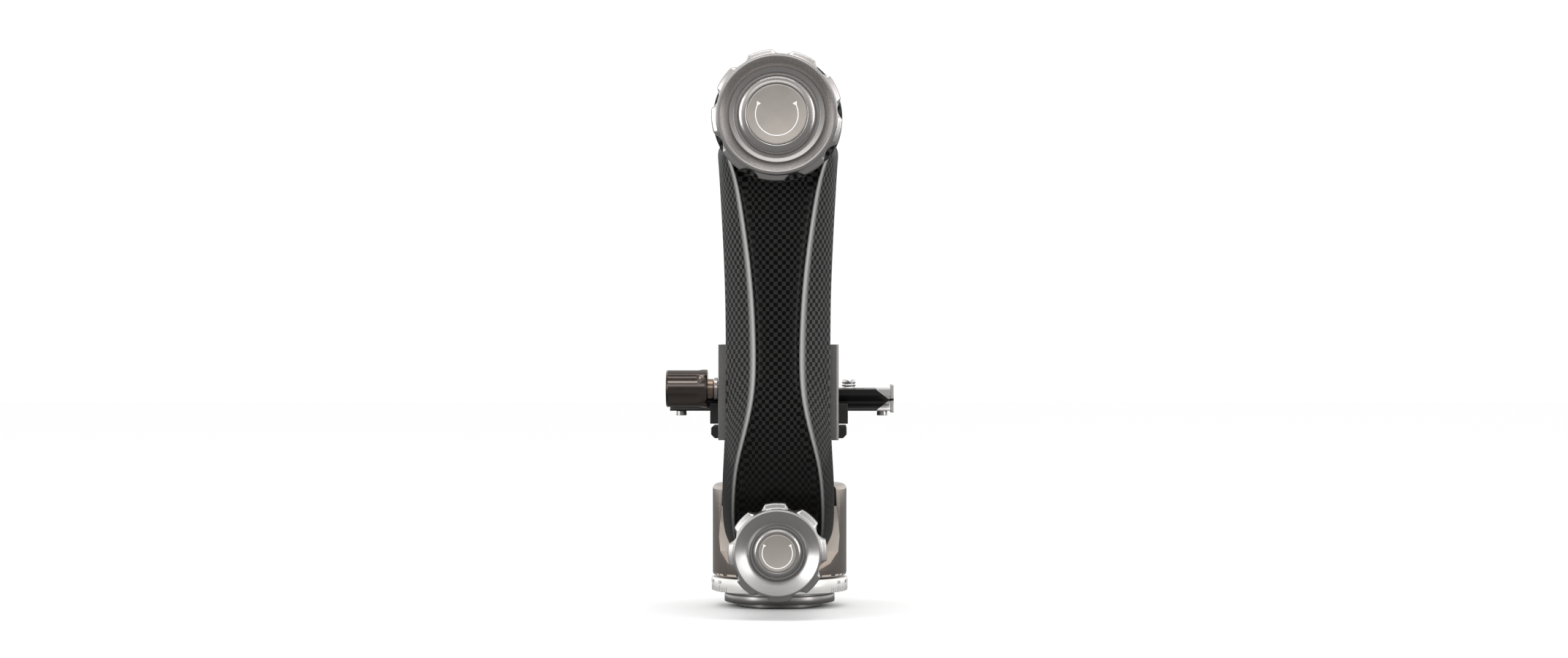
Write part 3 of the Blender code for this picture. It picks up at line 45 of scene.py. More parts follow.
# Camera: level, square to the arm, and turned a touch towards the lens side.
# A long lens from a metre and a half away keeps the knobs nearly the size of the foot.
turn_to_side = math.radians(0.63)
camera_data = bpy.data.cameras.new("camera")
camera_data.sensor_width = 36
camera_data.lens = 74.7
camera = bpy.data.objects.new("camera", camera_data)
camera.location = (0.0179, -1.4499, 0.123)
camera.rotation_euler = (math.radians(90), 0, turn_to_side)
bpy.context.scene.collection.objects.link(camera)
bpy.context.scene.camera = camera

# Base plate: a disc turned from aluminium with a step below it that meets the tripod.
# It is bored for a steel insert with the tripod thread, and the scale ring sits on its neck.
AXIS_TURNS = {"X": (0, math.radians(90), 0), "Y": (math.radians(-90), 0, 0), "Z": (0, 0, 0)}


def on_lathe(name, axis, centre, profile, segments=128, smooth=30):
    """Turns (radius, place along the axis) rings; the last ring joins the first, or both ends are capped."""
    bpy.ops.object.select_all(action="DESELECT")
    first_radius, first_place = profile[0]
    bpy.ops.mesh.primitive_circle_add(vertices=segments, radius=first_radius, location=(0, 0, 0))
    work = bpy.context.object
    bpy.ops.object.mode_set(mode="EDIT")
    bpy.ops.mesh.select_all(action="SELECT")
    bpy.ops.transform.translate(value=(0, 0, first_place))
    for (radius, place), (next_radius, next_place) in zip(profile, profile[1:]):
        bpy.ops.mesh.extrude_edges_move(TRANSFORM_OT_translate={"value": (0, 0, next_place - place)})
        grow = next_radius / radius
        bpy.ops.transform.resize(value=(grow, grow, 1), center_override=(0, 0, next_place))
    if profile[0] != profile[-1]:
        bpy.ops.mesh.edge_face_add()
        bpy.ops.mesh.select_all(action="DESELECT")
        bpy.ops.mesh.select_mode(type="EDGE")
        bpy.ops.mesh.select_non_manifold()
        bpy.ops.mesh.edge_face_add()
    bpy.ops.mesh.select_all(action="SELECT")
    bpy.ops.mesh.remove_doubles(threshold=0.001 * mm)
    bpy.ops.mesh.normals_make_consistent(inside=False)
    bpy.ops.object.mode_set(mode="OBJECT")
    work.name = name
    work.rotation_euler = AXIS_TURNS[axis]
    work.location = centre
    bpy.ops.object.transform_apply(location=True, rotation=True, scale=True)
    bpy.ops.object.shade_smooth_by_angle(angle=math.radians(smooth))
    return work


def settle(piece, body, slot, finish, *nodes):
    """Gives a finished piece its material, its body and the solids that it stands for."""
    piece.data.materials.clear()
    piece.data.materials.append(finish)
    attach(piece, body)
    if nodes:
        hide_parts(*nodes)


def add_node(tree, kind, inputs=None, **settings):
    """A shader node with its settings, and its inputs set to values or linked to sockets."""
    made = tree.nodes.new(f"ShaderNode{kind}")
    for key, value in settings.items():
        setattr(made, key, value)
    for key, value in (inputs or {}).items():
        if isinstance(value, bpy.types.NodeSocket):
            tree.links.new(value, made.inputs[key])
        else:
            made.inputs[key].default_value = value
    return made


def new_finish(name):
    """A new material, with its node tree and its shader."""
    finish = bpy.data.materials.new(name)
    finish.use_nodes = True
    return finish, finish.node_tree, finish.node_tree.nodes["Principled BSDF"]


def new_group(name, inputs, outputs):
    """An empty shader node group with named sockets, and its input and output nodes."""
    group = bpy.data.node_groups.new(name, "ShaderNodeTree")
    for label, kind, value in inputs:
        socket = group.interface.new_socket(label, in_out="INPUT", socket_type=kind)
        if value is not None:
            socket.default_value = value
    for label, kind in outputs:
        group.interface.new_socket(label, in_out="OUTPUT", socket_type=kind)
    return group, group.nodes.new("NodeGroupInput"), group.nodes.new("NodeGroupOutput")


def reach_of(tree, place):
    """The distance from the third axis."""
    flat = add_node(tree, "CombineXYZ", {0: place.outputs[0], 1: place.outputs[1]})
    return add_node(tree, "VectorMath", {0: flat.outputs[0]}, operation="LENGTH").outputs["Value"]


def add_bump(tree, shader, height, strength, distance):
    """Bumps a shader's normal by a height, over any bump that it has."""
    normal = shader.inputs["Normal"]
    below = {"Normal": link.from_socket for link in normal.links}
    bump = add_node(tree, "Bump",
                    {"Height": height, "Strength": strength, "Distance": distance, **below})
    tree.links.new(bump.outputs[0], normal)


# Lathe marks: rings on a face and lines round a side, in a piece whose axis is the third one
turned_grain, grain_in, grain_out = new_group(
    "turned_grain",
    [("Vector", "NodeSocketVector", None), ("Lines", "NodeSocketFloat", 2600.0)],
    [("Marks", "NodeSocketFloat"), ("Patches", "NodeSocketFloat")],
)
place = add_node(turned_grain, "SeparateXYZ", {0: grain_in.outputs["Vector"]})
ringed = add_node(turned_grain, "CombineXYZ", {0: reach_of(turned_grain, place), 1: place.outputs[2]})
marks = add_node(
    turned_grain,
    "TexNoise",
    {"Vector": ringed.outputs[0], "Scale": grain_in.outputs["Lines"], "Detail": 2.0, "Roughness": 0.6},
)
patches = add_node(
    turned_grain, "TexNoise", {"Vector": grain_in.outputs["Vector"], "Scale": 90.0, "Detail": 3.0}
)
turned_grain.links.new(marks.outputs["Fac"], grain_out.inputs["Marks"])
turned_grain.links.new(patches.outputs["Fac"], grain_out.inputs["Patches"])


def blend_of(tree, share, first, second):
    """A colour between two, by a share."""
    mix = add_node(tree, "Mix", {"Factor": share}, data_type="RGBA")
    for socket, value in ((mix.inputs[6], first), (mix.inputs[7], second)):
        if isinstance(value, bpy.types.NodeSocket):
            tree.links.new(value, socket)
        else:
            socket.default_value = (*value, 1)
    return mix.outputs[2]


def range_of(tree, value, low, high, from_low=0.0, from_high=1.0):
    """A value carried from one range to another."""
    ends = {"Value": value, "From Min": from_low, "From Max": from_high, "To Min": low, "To Max": high}
    return add_node(tree, "MapRange", ends).outputs["Result"]


def turned_metal(name, axis, centre, colour, rough, shine=1.0, lines=2600.0, depth=0.02):
    """Machined aluminium: fine marks about an axis, faint patches, and a little change of gloss."""
    finish, tree, shader = new_finish(name)
    spot = add_node(tree, "TexCoord").outputs["Object"]
    centred = add_node(tree, "VectorMath", {0: spot, 1: Vector(centre)}, operation="SUBTRACT")
    turns = {"X": (0, math.radians(-90), 0), "Y": (math.radians(90), 0, 0), "Z": (0, 0, 0)}
    local = add_node(tree, "VectorRotate", {0: centred.outputs[0], "Rotation": turns[axis]},
                     rotation_type="EULER_XYZ")
    grain = add_node(tree, "Group", {}, node_tree=turned_grain)
    tree.links.new(local.outputs[0], grain.inputs["Vector"])
    grain.inputs["Lines"].default_value = lines
    dark = tuple(0.94 * c for c in colour)
    tree.links.new(blend_of(tree, grain.outputs["Patches"], dark, colour), shader.inputs["Base Color"])
    tree.links.new(range_of(tree, grain.outputs["Marks"], rough - 0.03, rough + 0.03, 0.3, 0.7),
                   shader.inputs["Roughness"])
    add_bump(tree, shader, grain.outputs["Marks"], depth, 0.02 * mm)
    shader.inputs["Metallic"].default_value = shine
    return finish


low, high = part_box("base_plate")
face_radius, plate_radius, neck_radius = 18.8 * mm, high.x, 22.5 * mm
step, plate_top, neck_top = 1.95 * mm, 5.6 * mm, 6.7 * mm
bore = 7.3 * mm
base_plate = on_lathe(
    "base_plate_turned", "Z", (0, 0, 0),
    [(bore, 0.3 * mm), (bore + 0.3 * mm, 0), (face_radius - 0.3 * mm, 0), (face_radius, 0.3 * mm),
     (face_radius, step), (plate_radius - 0.5 * mm, step), (plate_radius - 0.15 * mm, step + 0.15 * mm),
     (plate_radius, step + 0.5 * mm), (plate_radius, plate_top - 0.5 * mm),
     (plate_radius - 0.15 * mm, plate_top - 0.15 * mm), (plate_radius - 0.5 * mm, plate_top),
     (neck_radius, plate_top), (neck_radius, neck_top), (bore, neck_top), (bore, 0.3 * mm)],
)
base_metal = turned_metal("base_plate_finish", "Z", (0, 0, 0), (0.36, 0.345, 0.34), 0.30)
settle(base_plate, "base", "satin_aluminium", base_metal, "base_plate")

# Scale ring: a silver ring turned from aluminium, engraved round its side with a tick for each 2.5 degrees.
# Every sixth tick is long and has a number over it. Three screws hold it on the base plate from below.
low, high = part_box("scale_ring")
ring_radius, ring_low, ring_top = high.x, low.z, high.z
ring_hub = 15.3 * mm
ring_edge = 0.5 * mm
scale_ring = on_lathe(
    "scale_ring_turned", "Z", (0, 0, 0),
    [(ring_hub, ring_low), (ring_radius - ring_edge, ring_low),
     (ring_radius - 0.15 * mm, ring_low + 0.15 * mm), (ring_radius, ring_low + ring_edge),
     (ring_radius, ring_top - ring_edge), (ring_radius - 0.15 * mm, ring_top - 0.15 * mm),
     (ring_radius - ring_edge, ring_top), (ring_hub, ring_top), (ring_hub, ring_low)],
    segments=192,
)
ring_metal = turned_metal("scale_ring_finish", "Z", (0, 0, 0), (0.90, 0.885, 0.86), 0.30, shine=0.5)
tick_angle = math.radians(2.5)


def math_of(tree, operation, first, second=0.0):
    """One step of sums."""
    return add_node(tree, "Math", {0: first, 1: second}, operation=operation).outputs[0]


def place_in(tree):
    """The place on the object, as three sockets."""
    spot = add_node(tree, "TexCoord").outputs["Object"]
    return add_node(tree, "SeparateXYZ", {0: spot}).outputs


def paint_over(finish, mask, colour):
    """A second colour over a material's own, where the mask is one."""
    tree = finish.node_tree
    base = tree.nodes["Principled BSDF"].inputs["Base Color"]
    tree.links.new(blend_of(tree, mask, base.links[0].from_socket, colour), base)


def wave_of(tree, angle, step, half_width):
    """One where the angle is within half_width of a multiple of the step."""
    share = math_of(tree, "ADD", math_of(tree, "DIVIDE", angle, step), 0.5)
    off = math_of(tree, "SUBTRACT", math_of(tree, "FRACT", share), 0.5)
    return math_of(tree, "LESS_THAN", math_of(tree, "ABSOLUTE", off), half_width / step)


tree = ring_metal.node_tree
place = place_in(tree)
angle = math_of(tree, "ARCTAN2", place[1], place[0])
half_tick = 0.11 * mm / ring_radius
short_top, long_top = ring_low + 2.3 * mm, ring_low + 3.0 * mm
short = math_of(tree, "MULTIPLY", wave_of(tree, angle, tick_angle, half_tick),
                math_of(tree, "LESS_THAN", place[2], short_top))
long = math_of(tree, "MULTIPLY", wave_of(tree, angle, 6 * tick_angle, 1.3 * half_tick),
               math_of(tree, "LESS_THAN", place[2], long_top))
# The ring is plain at the front, between these two places
plain_half = 0.74 * ring_radius
at_side = math_of(tree, "GREATER_THAN", math_of(tree, "ABSOLUTE", place[0]), plain_half)
marked = math_of(tree, "MAXIMUM", at_side, math_of(tree, "GREATER_THAN", place[1], 0.0))
ticks = math_of(tree, "MULTIPLY", math_of(tree, "MAXIMUM", short, long), marked)
paint_over(ring_metal, ticks, (0.05, 0.05, 0.05))
settle(scale_ring, "base", "silver_aluminium", ring_metal, "scale_ring")

ink, ink_tree, ink_shader = new_finish("engraving_ink")
ink_spot = add_node(ink_tree, "TexCoord").outputs["Object"]
speckle = add_node(ink_tree, "TexNoise", {"Vector": ink_spot, "Scale": 4000.0, "Detail": 2.0})
ink_tree.links.new(blend_of(ink_tree, speckle.outputs["Fac"], (0.02, 0.02, 0.02), (0.07, 0.07, 0.07)),
                   ink_shader.inputs["Base Color"])
ink_shader.inputs["Roughness"].default_value = 0.6


def take_hold(*pieces):
    """Selects only these pieces, and makes the first one active."""
    bpy.ops.object.select_all(action="DESELECT")
    for piece in pieces:
        piece.select_set(True)
    bpy.context.view_layer.objects.active = pieces[0]


def place_text(name, words, size, depth, turn, centre):
    """A number cut as a thin solid, turned and put in its place."""
    bpy.ops.object.select_all(action="DESELECT")
    bpy.ops.object.text_add(location=(0, 0, 0))
    text = bpy.context.object
    text.data.body = words
    text.data.size = size
    text.data.extrude = depth
    text.data.align_x = "CENTER"
    text.data.align_y = "CENTER"
    text.data.resolution_u = 3
    bpy.ops.object.convert(target="MESH")
    text.name = name
    text.rotation_euler = turn
    text.location = centre
    bpy.ops.object.transform_apply(location=True, rotation=True, scale=True)
    return text


number_step = 15
number_rise, number_size = 4.3 * mm, 1.9 * mm
numbers = []
for k in range(360 // number_step):
    way = math.radians(number_step * k)
    spot = Vector((math.cos(way), math.sin(way), 0)) * (ring_radius + 0.005 * mm)
    if abs(spot.x) < plain_half and spot.y < 0:
        continue
    spot.z = ring_low + number_rise
    turn = (math.radians(90), 0, way + math.radians(90))
    degrees = str(number_step * k)
    numbers.append(place_text(f"scale_number_{k}", degrees, number_size, 0.03 * mm, turn, spot))
take_hold(*numbers)
bpy.ops.object.join()
numbers[0].name = "scale_numbers"
settle(numbers[0], "base", "black_oxide_steel", ink)

# Foot: a cup turned from aluminium, bored out, and milled open at the front for the arm.
# The mill leaves a bevel down each side of the opening, wider towards the pan knob, and its faces that face
# forward are painted a light champagne as a highlight.
tilt_low, tilt_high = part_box("tilt_lock_cap")
tilt_z = (tilt_low.z + tilt_high.z) / 2
low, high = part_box("foot")
foot_radius, foot_low, foot_top = high.x, low.z, high.z
cup_radius = foot_radius - 5.0 * mm
cup_floor = foot_low + 26.2 * mm
arm_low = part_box("arm")[0]
arm_inner_y, arm_crest_y = -49.5 * mm, -70.0 * mm
heel_top = cup_floor + 10.5 * mm
tongue_bottom = arm_low.z
tongue_inner_y, tongue_outer_y = -19.0 * mm, -27.0 * mm
# Outlines round the arm's bend: half width, half distance between the ridges, depth of the valley, shoulder
bend_outlines = (
    (22.9, 10.4, 3.2, 0.27), (23.3, 13.8, 3.4, 0.29), (23.7, 17.8, 3.6, 0.32), (24.2, 19.0, 3.6, 0.36),
    (24.4, 19.2, 3.2, 0.40), (24.4, 18.4, 2.4, 0.44), (24.3, 17.0, 1.4, 0.48), (23.8, 14.8, 0.8, 0.52),
    (23.0, 12.6, 0.4, 0.54),
)


def outline_across(inner, outer, half, crest, dip, shoulder, grow=0.0):
    """A closed outline across the arm, from the middle of its inner face round by the valley."""
    thick = (outer - inner).length
    out = (outer - inner) / thick
    right = [
        (0, 0), (half - 5.0 * mm, 0), (half - 1.6 * mm, 2.0 * mm), (half, (shoulder - 0.06) * thick),
        (half - 0.5 * mm, (shoulder + 0.06) * thick),
        (crest + 0.5 * (half - crest), thick - 0.40 * (1 - shoulder) * thick), (crest + 0.5 * mm, thick),
        (crest - 0.7 * mm, thick - 0.12 * dip), (crest - 2.4 * mm, thick - dip), (0, thick - dip),
    ]
    points = []
    for across, rise in right:
        points.append((across + grow if across else 0, rise + (grow if rise > shoulder * thick else -grow)))
    ring = [*points, *((-a, b) for a, b in reversed(points[1:-1])), points[0]]
    return [inner + Vector((a, 0, 0)) + out * b for a, b in ring]


def bend_rows(grow=0.0):
    """The outlines from the arm's straight part round into the foot."""
    rows = []
    for k, (half, crest, dip, shoulder) in enumerate(bend_outlines):
        turn = math.radians(90) * k / (len(bend_outlines) - 1)
        away, along = 1 - math.cos(turn), 1 - math.sin(turn)
        inner = Vector((0, arm_inner_y + (tongue_inner_y - arm_inner_y) * away,
                        heel_top + (foot_top + 24.0 * mm - heel_top) * along))
        outer = Vector((0, arm_crest_y + (tongue_outer_y - arm_crest_y) * away,
                        tongue_bottom + (foot_top + 39.6 * mm - tongue_bottom) * along))
        rows.append(outline_across(inner, outer, half * mm, crest * mm, dip * mm, shoulder, grow))
    return rows


def on_loft(name, rows):
    """A grid set on a row of closed outlines and closed at both ends. Its UV maps are lengths and places."""
    bpy.ops.object.select_all(action="DESELECT")
    wide, tall = len(rows[0]), len(rows)
    bpy.ops.mesh.primitive_grid_add(x_subdivisions=wide - 1, y_subdivisions=tall - 1, size=1,
                                    location=(0, 0, 0))
    work = bpy.context.object
    work.name = name
    mesh = work.data
    for k, vertex in enumerate(mesh.vertices):
        vertex.co = rows[k // wide][k % wide]
    across = [[0.0] for row in rows]
    for row, lengths in zip(rows, across):
        for first, second in zip(row, row[1:]):
            lengths.append(lengths[-1] + (second - first).length)
    along = [0.0]
    valley = (wide - 1) // 2
    for first, second in zip(rows, rows[1:]):
        along.append(along[-1] + (second[valley] - first[valley]).length)
    mesh.uv_layers.active.name = "lengths"
    mesh.uv_layers.new(name="places")
    lengths_map, places_map = mesh.uv_layers["lengths"], mesh.uv_layers["places"]
    for loop in mesh.loops:
        row, column = divmod(loop.vertex_index, wide)
        middle = across[row][valley]
        lengths_map.data[loop.index].uv = ((across[row][column] - middle) / mm, along[row] / mm)
        places_map.data[loop.index].uv = (min(column, wide - 1 - column), row)
    bpy.ops.object.mode_set(mode="EDIT")
    bpy.ops.mesh.select_all(action="SELECT")
    bpy.ops.mesh.remove_doubles(threshold=0.001 * mm)
    bpy.ops.mesh.select_all(action="DESELECT")
    bpy.ops.mesh.select_mode(type="EDGE")
    bpy.ops.mesh.select_non_manifold()
    bpy.ops.mesh.fill_holes(sides=0)
    bpy.ops.mesh.select_all(action="SELECT")
    bpy.ops.mesh.normals_make_consistent(inside=False)
    bpy.ops.object.mode_set(mode="OBJECT")
    return work


def cut_with(work, cutter):
    """Takes a cutter out of a piece and removes the cutter."""
    modifier = work.modifiers.new("Cut", "BOOLEAN")
    modifier.operation = "DIFFERENCE"
    modifier.solver = "EXACT"
    modifier.object = cutter
    take_hold(work)
    bpy.ops.object.modifier_apply(modifier=modifier.name)
    bpy.data.objects.remove(cutter)


rim_round = 2.4 * mm
rim = []
for step in range(9):
    turn = math.radians(90 * step / 8)
    rim.append((foot_radius - rim_round * (1 - math.cos(turn)), foot_top - rim_round * (1 - math.sin(turn))))
spindle_way, washer_seat, nut_well = 9.3 * mm, 20.3 * mm, 12.5 * mm
recess_top, well_floor = foot_low + 1.8 * mm, cup_floor - 6.3 * mm
foot = on_lathe(
    "foot_turned", "Z", (0, 0, 0),
    [(spindle_way, recess_top), (washer_seat, recess_top), (washer_seat, foot_low),
     (foot_radius - 1.2 * mm, foot_low), (foot_radius - 0.3 * mm, foot_low + 0.4 * mm),
     (foot_radius, foot_low + 1.2 * mm), *rim, (cup_radius + 0.6 * mm, foot_top),
     (cup_radius + 0.15 * mm, foot_top - 0.15 * mm), (cup_radius, foot_top - 0.6 * mm),
     (cup_radius, cup_floor), (nut_well, cup_floor), (nut_well, well_floor), (spindle_way, well_floor),
     (spindle_way, recess_top)],
    segments=192,
)
cut_with(foot, on_loft("opening_cutter", bend_rows(grow=0.45 * mm)))
# Edge of the opening: half width, drop below the rim, width of the bevel, its depth
bevel_rows = (
    (24.6, -1.0, 0.4, 1.0), (24.6, 9.4, 0.7, 1.6), (24.6, 16.4, 1.5, 3.0), (22.0, 22.9, 4.6, 6.0),
    (18.5, 29.4, 7.5, 9.0), (15.0, 34.4, 7.5, 8.0), (12.0, 37.9, 4.0, 3.0),
)
for side in (1, -1):
    rows = []
    for half, drop, wide, deep in bevel_rows:
        front = -math.sqrt((foot_radius / mm) ** 2 - half**2)
        outer = half + wide
        corners = [(half - 2.0, front - 6.0), (half - 2.0, front + deep),
                   (outer, -math.sqrt((foot_radius / mm) ** 2 - outer**2)), (outer + 2.0, front - 6.0)]
        corners.append(corners[0])
        rows.append([Vector((side * x * mm, y * mm, foot_top - drop * mm)) for x, y in corners])
    cut_with(foot, on_loft("bevel_cutter", rows))
cut_with(foot, on_lathe("bush_cutter", "Y", (0, 0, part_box("pan_lock_bush")[1].z - 6.0 * mm),
                        [(6.3 * mm, -40 * mm), (6.3 * mm, -24.0 * mm)], segments=48))
bpy.ops.object.shade_smooth_by_angle(angle=math.radians(30))
foot_metal = turned_metal("foot_finish", "Z", (0, 0, 0), (0.40, 0.352, 0.315), 0.21)
settle(foot, "pan", "champagne_aluminium", foot_metal, "foot")
# Painted highlight: a light champagne colour for the bevel's faces that face forward
painted_highlight_bevel_metal = turned_metal("foot_bevel_painted_highlight", "Z", (0, 0, 0), (0.86, 0.775, 0.69), 0.32, shine=0.6)
foot.data.materials.append(painted_highlight_bevel_metal)
# The bevel's faces that face forward, below the rim, take the painted highlight
opening_back = -8.0 * mm
for face in foot.data.polygons:
    corners = [foot.data.vertices[k].co for k in face.vertices]
    nearest = min(math.hypot(corner.x, corner.y) for corner in corners)
    cut_in = nearest < foot_radius - 0.3 * mm and face.center.y < opening_back
    below_rim = face.center.z < foot_top - rim_round - 0.2 * mm
    if cut_in and below_rim and face.normal.y < -0.1 and abs(face.normal.z) < 0.95:
        face.material_index = 1

# Arm: a J of woven carbon fibre, moulded with two ridges and a valley between them, and lacquered.
# A round head at the top holds the tilt bearings, and a heel is bolted into the foot.
arm_rows = []
straight_rows = [(tilt_z - drop * mm, *rest) for drop, *rest in (
    (6.5, 26.9, 25.0, 0.6), (17.5, 25.9, 20.4, 2.2), (27.0, 25.3, 17.3, 2.8), (42.5, 24.4, 14.8, 3.2),
    (58.5, 23.6, 12.5, 3.2))]
straight_rows += [(foot_top + rise * mm, *rest) for rise, *rest in (
    (84.2, 23.0, 10.9, 3.2), (68.6, 22.8, 10.0, 3.2), (52.6, 22.7, 9.7, 3.2))]
for height, half, crest, dip in straight_rows:
    arm_rows.append(outline_across(Vector((0, arm_inner_y, height)), Vector((0, arm_crest_y, height)),
                                   half * mm, crest * mm, dip * mm, 0.27))
arm_rows += bend_rows()
arm = on_loft("arm_shell", arm_rows)
modifier = arm.modifiers.new("Round", "SUBSURF")
modifier.levels = modifier.render_levels = 3
modifier.uv_smooth = "NONE"
take_hold(arm)
bpy.ops.object.modifier_apply(modifier=modifier.name)
bpy.ops.object.shade_smooth()

# Woven cloth: two strands cross in squares, and each square shows one of them
carbon_weave, weave_in, weave_out = new_group(
    "carbon_weave",
    [("Vector", "NodeSocketVector", None), ("Square", "NodeSocketFloat", 1.8),
     ("Bright", "NodeSocketFloat", 0.0)],
    [("Strand", "NodeSocketFloat"), ("Height", "NodeSocketFloat"), ("Color", "NodeSocketColor")],
)
scaled = add_node(carbon_weave, "VectorMath", {0: weave_in.outputs["Vector"]}, operation="SCALE")
inverse = add_node(carbon_weave, "Math", {0: 1.0, 1: weave_in.outputs["Square"]}, operation="DIVIDE")
carbon_weave.links.new(inverse.outputs[0], scaled.inputs["Scale"])
cell = add_node(carbon_weave, "SeparateXYZ", {0: scaled.outputs["Vector"]})
odd_u = math_of(carbon_weave, "FLOOR", cell.outputs[0])
odd_v = math_of(carbon_weave, "FLOOR", cell.outputs[1])
odd = math_of(carbon_weave, "MODULO", math_of(carbon_weave, "ABSOLUTE",
                                              math_of(carbon_weave, "ADD", odd_u, odd_v)), 2.0)
strand = math_of(carbon_weave, "GREATER_THAN", odd, 0.5)
both = add_node(carbon_weave, "Mix", {"Factor": strand}, data_type="FLOAT")
streaks = add_node(carbon_weave, "Mix", {"Factor": strand}, data_type="FLOAT")
fibres = 12.0
for way in (0, 1):
    half_turns = math_of(carbon_weave, "MULTIPLY", cell.outputs[way], math.pi)
    hill = math_of(carbon_weave, "ABSOLUTE", math_of(carbon_weave, "SINE", half_turns))
    carbon_weave.links.new(hill, both.inputs[2 + way])
    sides = {0: cell.outputs[0], 1: cell.outputs[1]}
    sides[way] = math_of(carbon_weave, "MULTIPLY", cell.outputs[way], fibres)
    strands = add_node(carbon_weave, "CombineXYZ", sides).outputs[0]
    streak = add_node(carbon_weave, "TexNoise", {"Vector": strands, "Scale": 1.0, "Detail": 2.0})
    carbon_weave.links.new(streak.outputs["Fac"], streaks.inputs[3 - way])
shade = math_of(carbon_weave, "ADD", strand, math_of(carbon_weave, "MULTIPLY", streaks.outputs[0], 0.5))
tone = range_of(carbon_weave, shade, 0.0, 1.0, 0.2, 1.3)
valley_tone = blend_of(carbon_weave, tone, (0.0004, 0.0004, 0.0004), (0.019, 0.0188, 0.0185))
# Painted sheen: a lighter tone of the weave, standing in for the side lights reflected on the slopes
painted_slope_sheen = blend_of(carbon_weave, tone, (0.006, 0.006, 0.006), (0.058, 0.057, 0.056))
carbon_weave.links.new(strand, weave_out.inputs["Strand"])
carbon_weave.links.new(both.outputs[0], weave_out.inputs["Height"])
carbon_weave.links.new(blend_of(carbon_weave, weave_in.outputs["Bright"], valley_tone, painted_slope_sheen),
                       weave_out.inputs["Color"])


def woven_carbon(name, square, vector_of, bright=0.4):
    """Lacquered cloth of carbon fibre. The strands shine one way or the other by their square."""
    finish, tree, shader = new_finish(name)
    weave = add_node(tree, "Group", {}, node_tree=carbon_weave)
    tree.links.new(vector_of(tree), weave.inputs["Vector"])
    weave.inputs["Square"].default_value = square
    weave.inputs["Bright"].default_value = bright
    tree.links.new(weave.outputs["Color"], shader.inputs["Base Color"])
    tree.links.new(range_of(tree, weave.outputs["Strand"], 0.48, 0.60), shader.inputs["Roughness"])
    add_bump(tree, shader, weave.outputs["Height"], 0.25, 0.08 * mm)
    for label, value in (("Specular IOR Level", 0.05), ("Coat Weight", 0.14), ("Coat Roughness", 0.14),
                         ("Coat IOR", 1.4)):
        shader.inputs[label].default_value = value
    return finish


def cloth_lengths(tree):
    """The lengths across and along the cloth, in millimetres."""
    return add_node(tree, "UVMap", uv_map="lengths").outputs["UV"]


weave_square = 1.8
arm_carbon = woven_carbon("arm_carbon", weave_square, cloth_lengths)
# Each ridge carries a painted highlight, a light grey line down its crest, and the slopes outside the ridges
# take a lighter painted sheen than the valley
arm_tree = arm_carbon.node_tree
arm_shader = arm_tree.nodes["Principled BSDF"]
spot_across = add_node(arm_tree, "SeparateXYZ",
                       {0: add_node(arm_tree, "UVMap", uv_map="places").outputs["UV"]})
arm_weave = [node for node in arm_tree.nodes if node.bl_idname == "ShaderNodeGroup"][0]
# Painted sheen: the slopes outside the ridges, the sides and the inner face take the lighter tone
arm_tree.links.new(range_of(arm_tree, spot_across.outputs[0], 1.0, 0.0, 5.8, 6.9), arm_weave.inputs["Bright"])
# Painted highlight: a light grey line down each ridge, fading out round the bend
crest_column = 6.35
off_crest = math_of(arm_tree, "ABSOLUTE", math_of(arm_tree, "SUBTRACT", spot_across.outputs[0], crest_column))
ridge_highlight_share = range_of(arm_tree, off_crest, 0.95, 0.0, 0.05, 0.60)
ridge_highlight_fade = range_of(arm_tree, spot_across.outputs[1], 1.0, 0.10, 7.5, 13.0)
painted_ridge_highlight = math_of(arm_tree, "MULTIPLY", ridge_highlight_share, ridge_highlight_fade)
# Painted shade: the weave darkens towards black round the bend
bend_shade = range_of(arm_tree, spot_across.outputs[1], 1.0, 0.22, 8.0, 11.5)
shaded = blend_of(arm_tree, bend_shade, (0.004, 0.0037, 0.0034), arm_weave.outputs["Color"])
arm_tree.links.new(blend_of(arm_tree, painted_ridge_highlight, shaded, (0.36, 0.357, 0.352)),
                   arm_shader.inputs["Base Color"])
settle(arm, "pan", "carbon_fibre", arm_carbon, "arm")

head_radius, head_front = 27.5 * mm, arm_low.y
head_bore = 18.0 * mm
round_edge = [(head_radius - 2.0 * mm * (1 - math.sin(math.radians(a))),
               head_front + 2.0 * mm * (1 - math.cos(math.radians(a)))) for a in (0, 22, 45, 67, 90)]
head = on_lathe(
    "arm_head", "Y", (0, 0, tilt_z),
    [(head_bore, head_front), *round_edge, (head_radius, arm_inner_y - 1.0 * mm),
     (head_radius - 0.3 * mm, arm_inner_y - 0.3 * mm), (head_radius - 1.0 * mm, arm_inner_y),
     (head_bore, arm_inner_y), (head_bore, head_front)],
    segments=160,
)


def head_lengths(tree):
    """The lengths round the head and along its axis, in millimetres."""
    place = place_in(tree)
    up = math_of(tree, "SUBTRACT", place[2], tilt_z)
    turn = math_of(tree, "ARCTAN2", up, place[0])
    round_it = math_of(tree, "MULTIPLY", turn, head_radius / mm)
    depth = math_of(tree, "MULTIPLY", place[1], 1 / mm)
    return add_node(tree, "CombineXYZ", {0: round_it, 1: depth}).outputs[0]


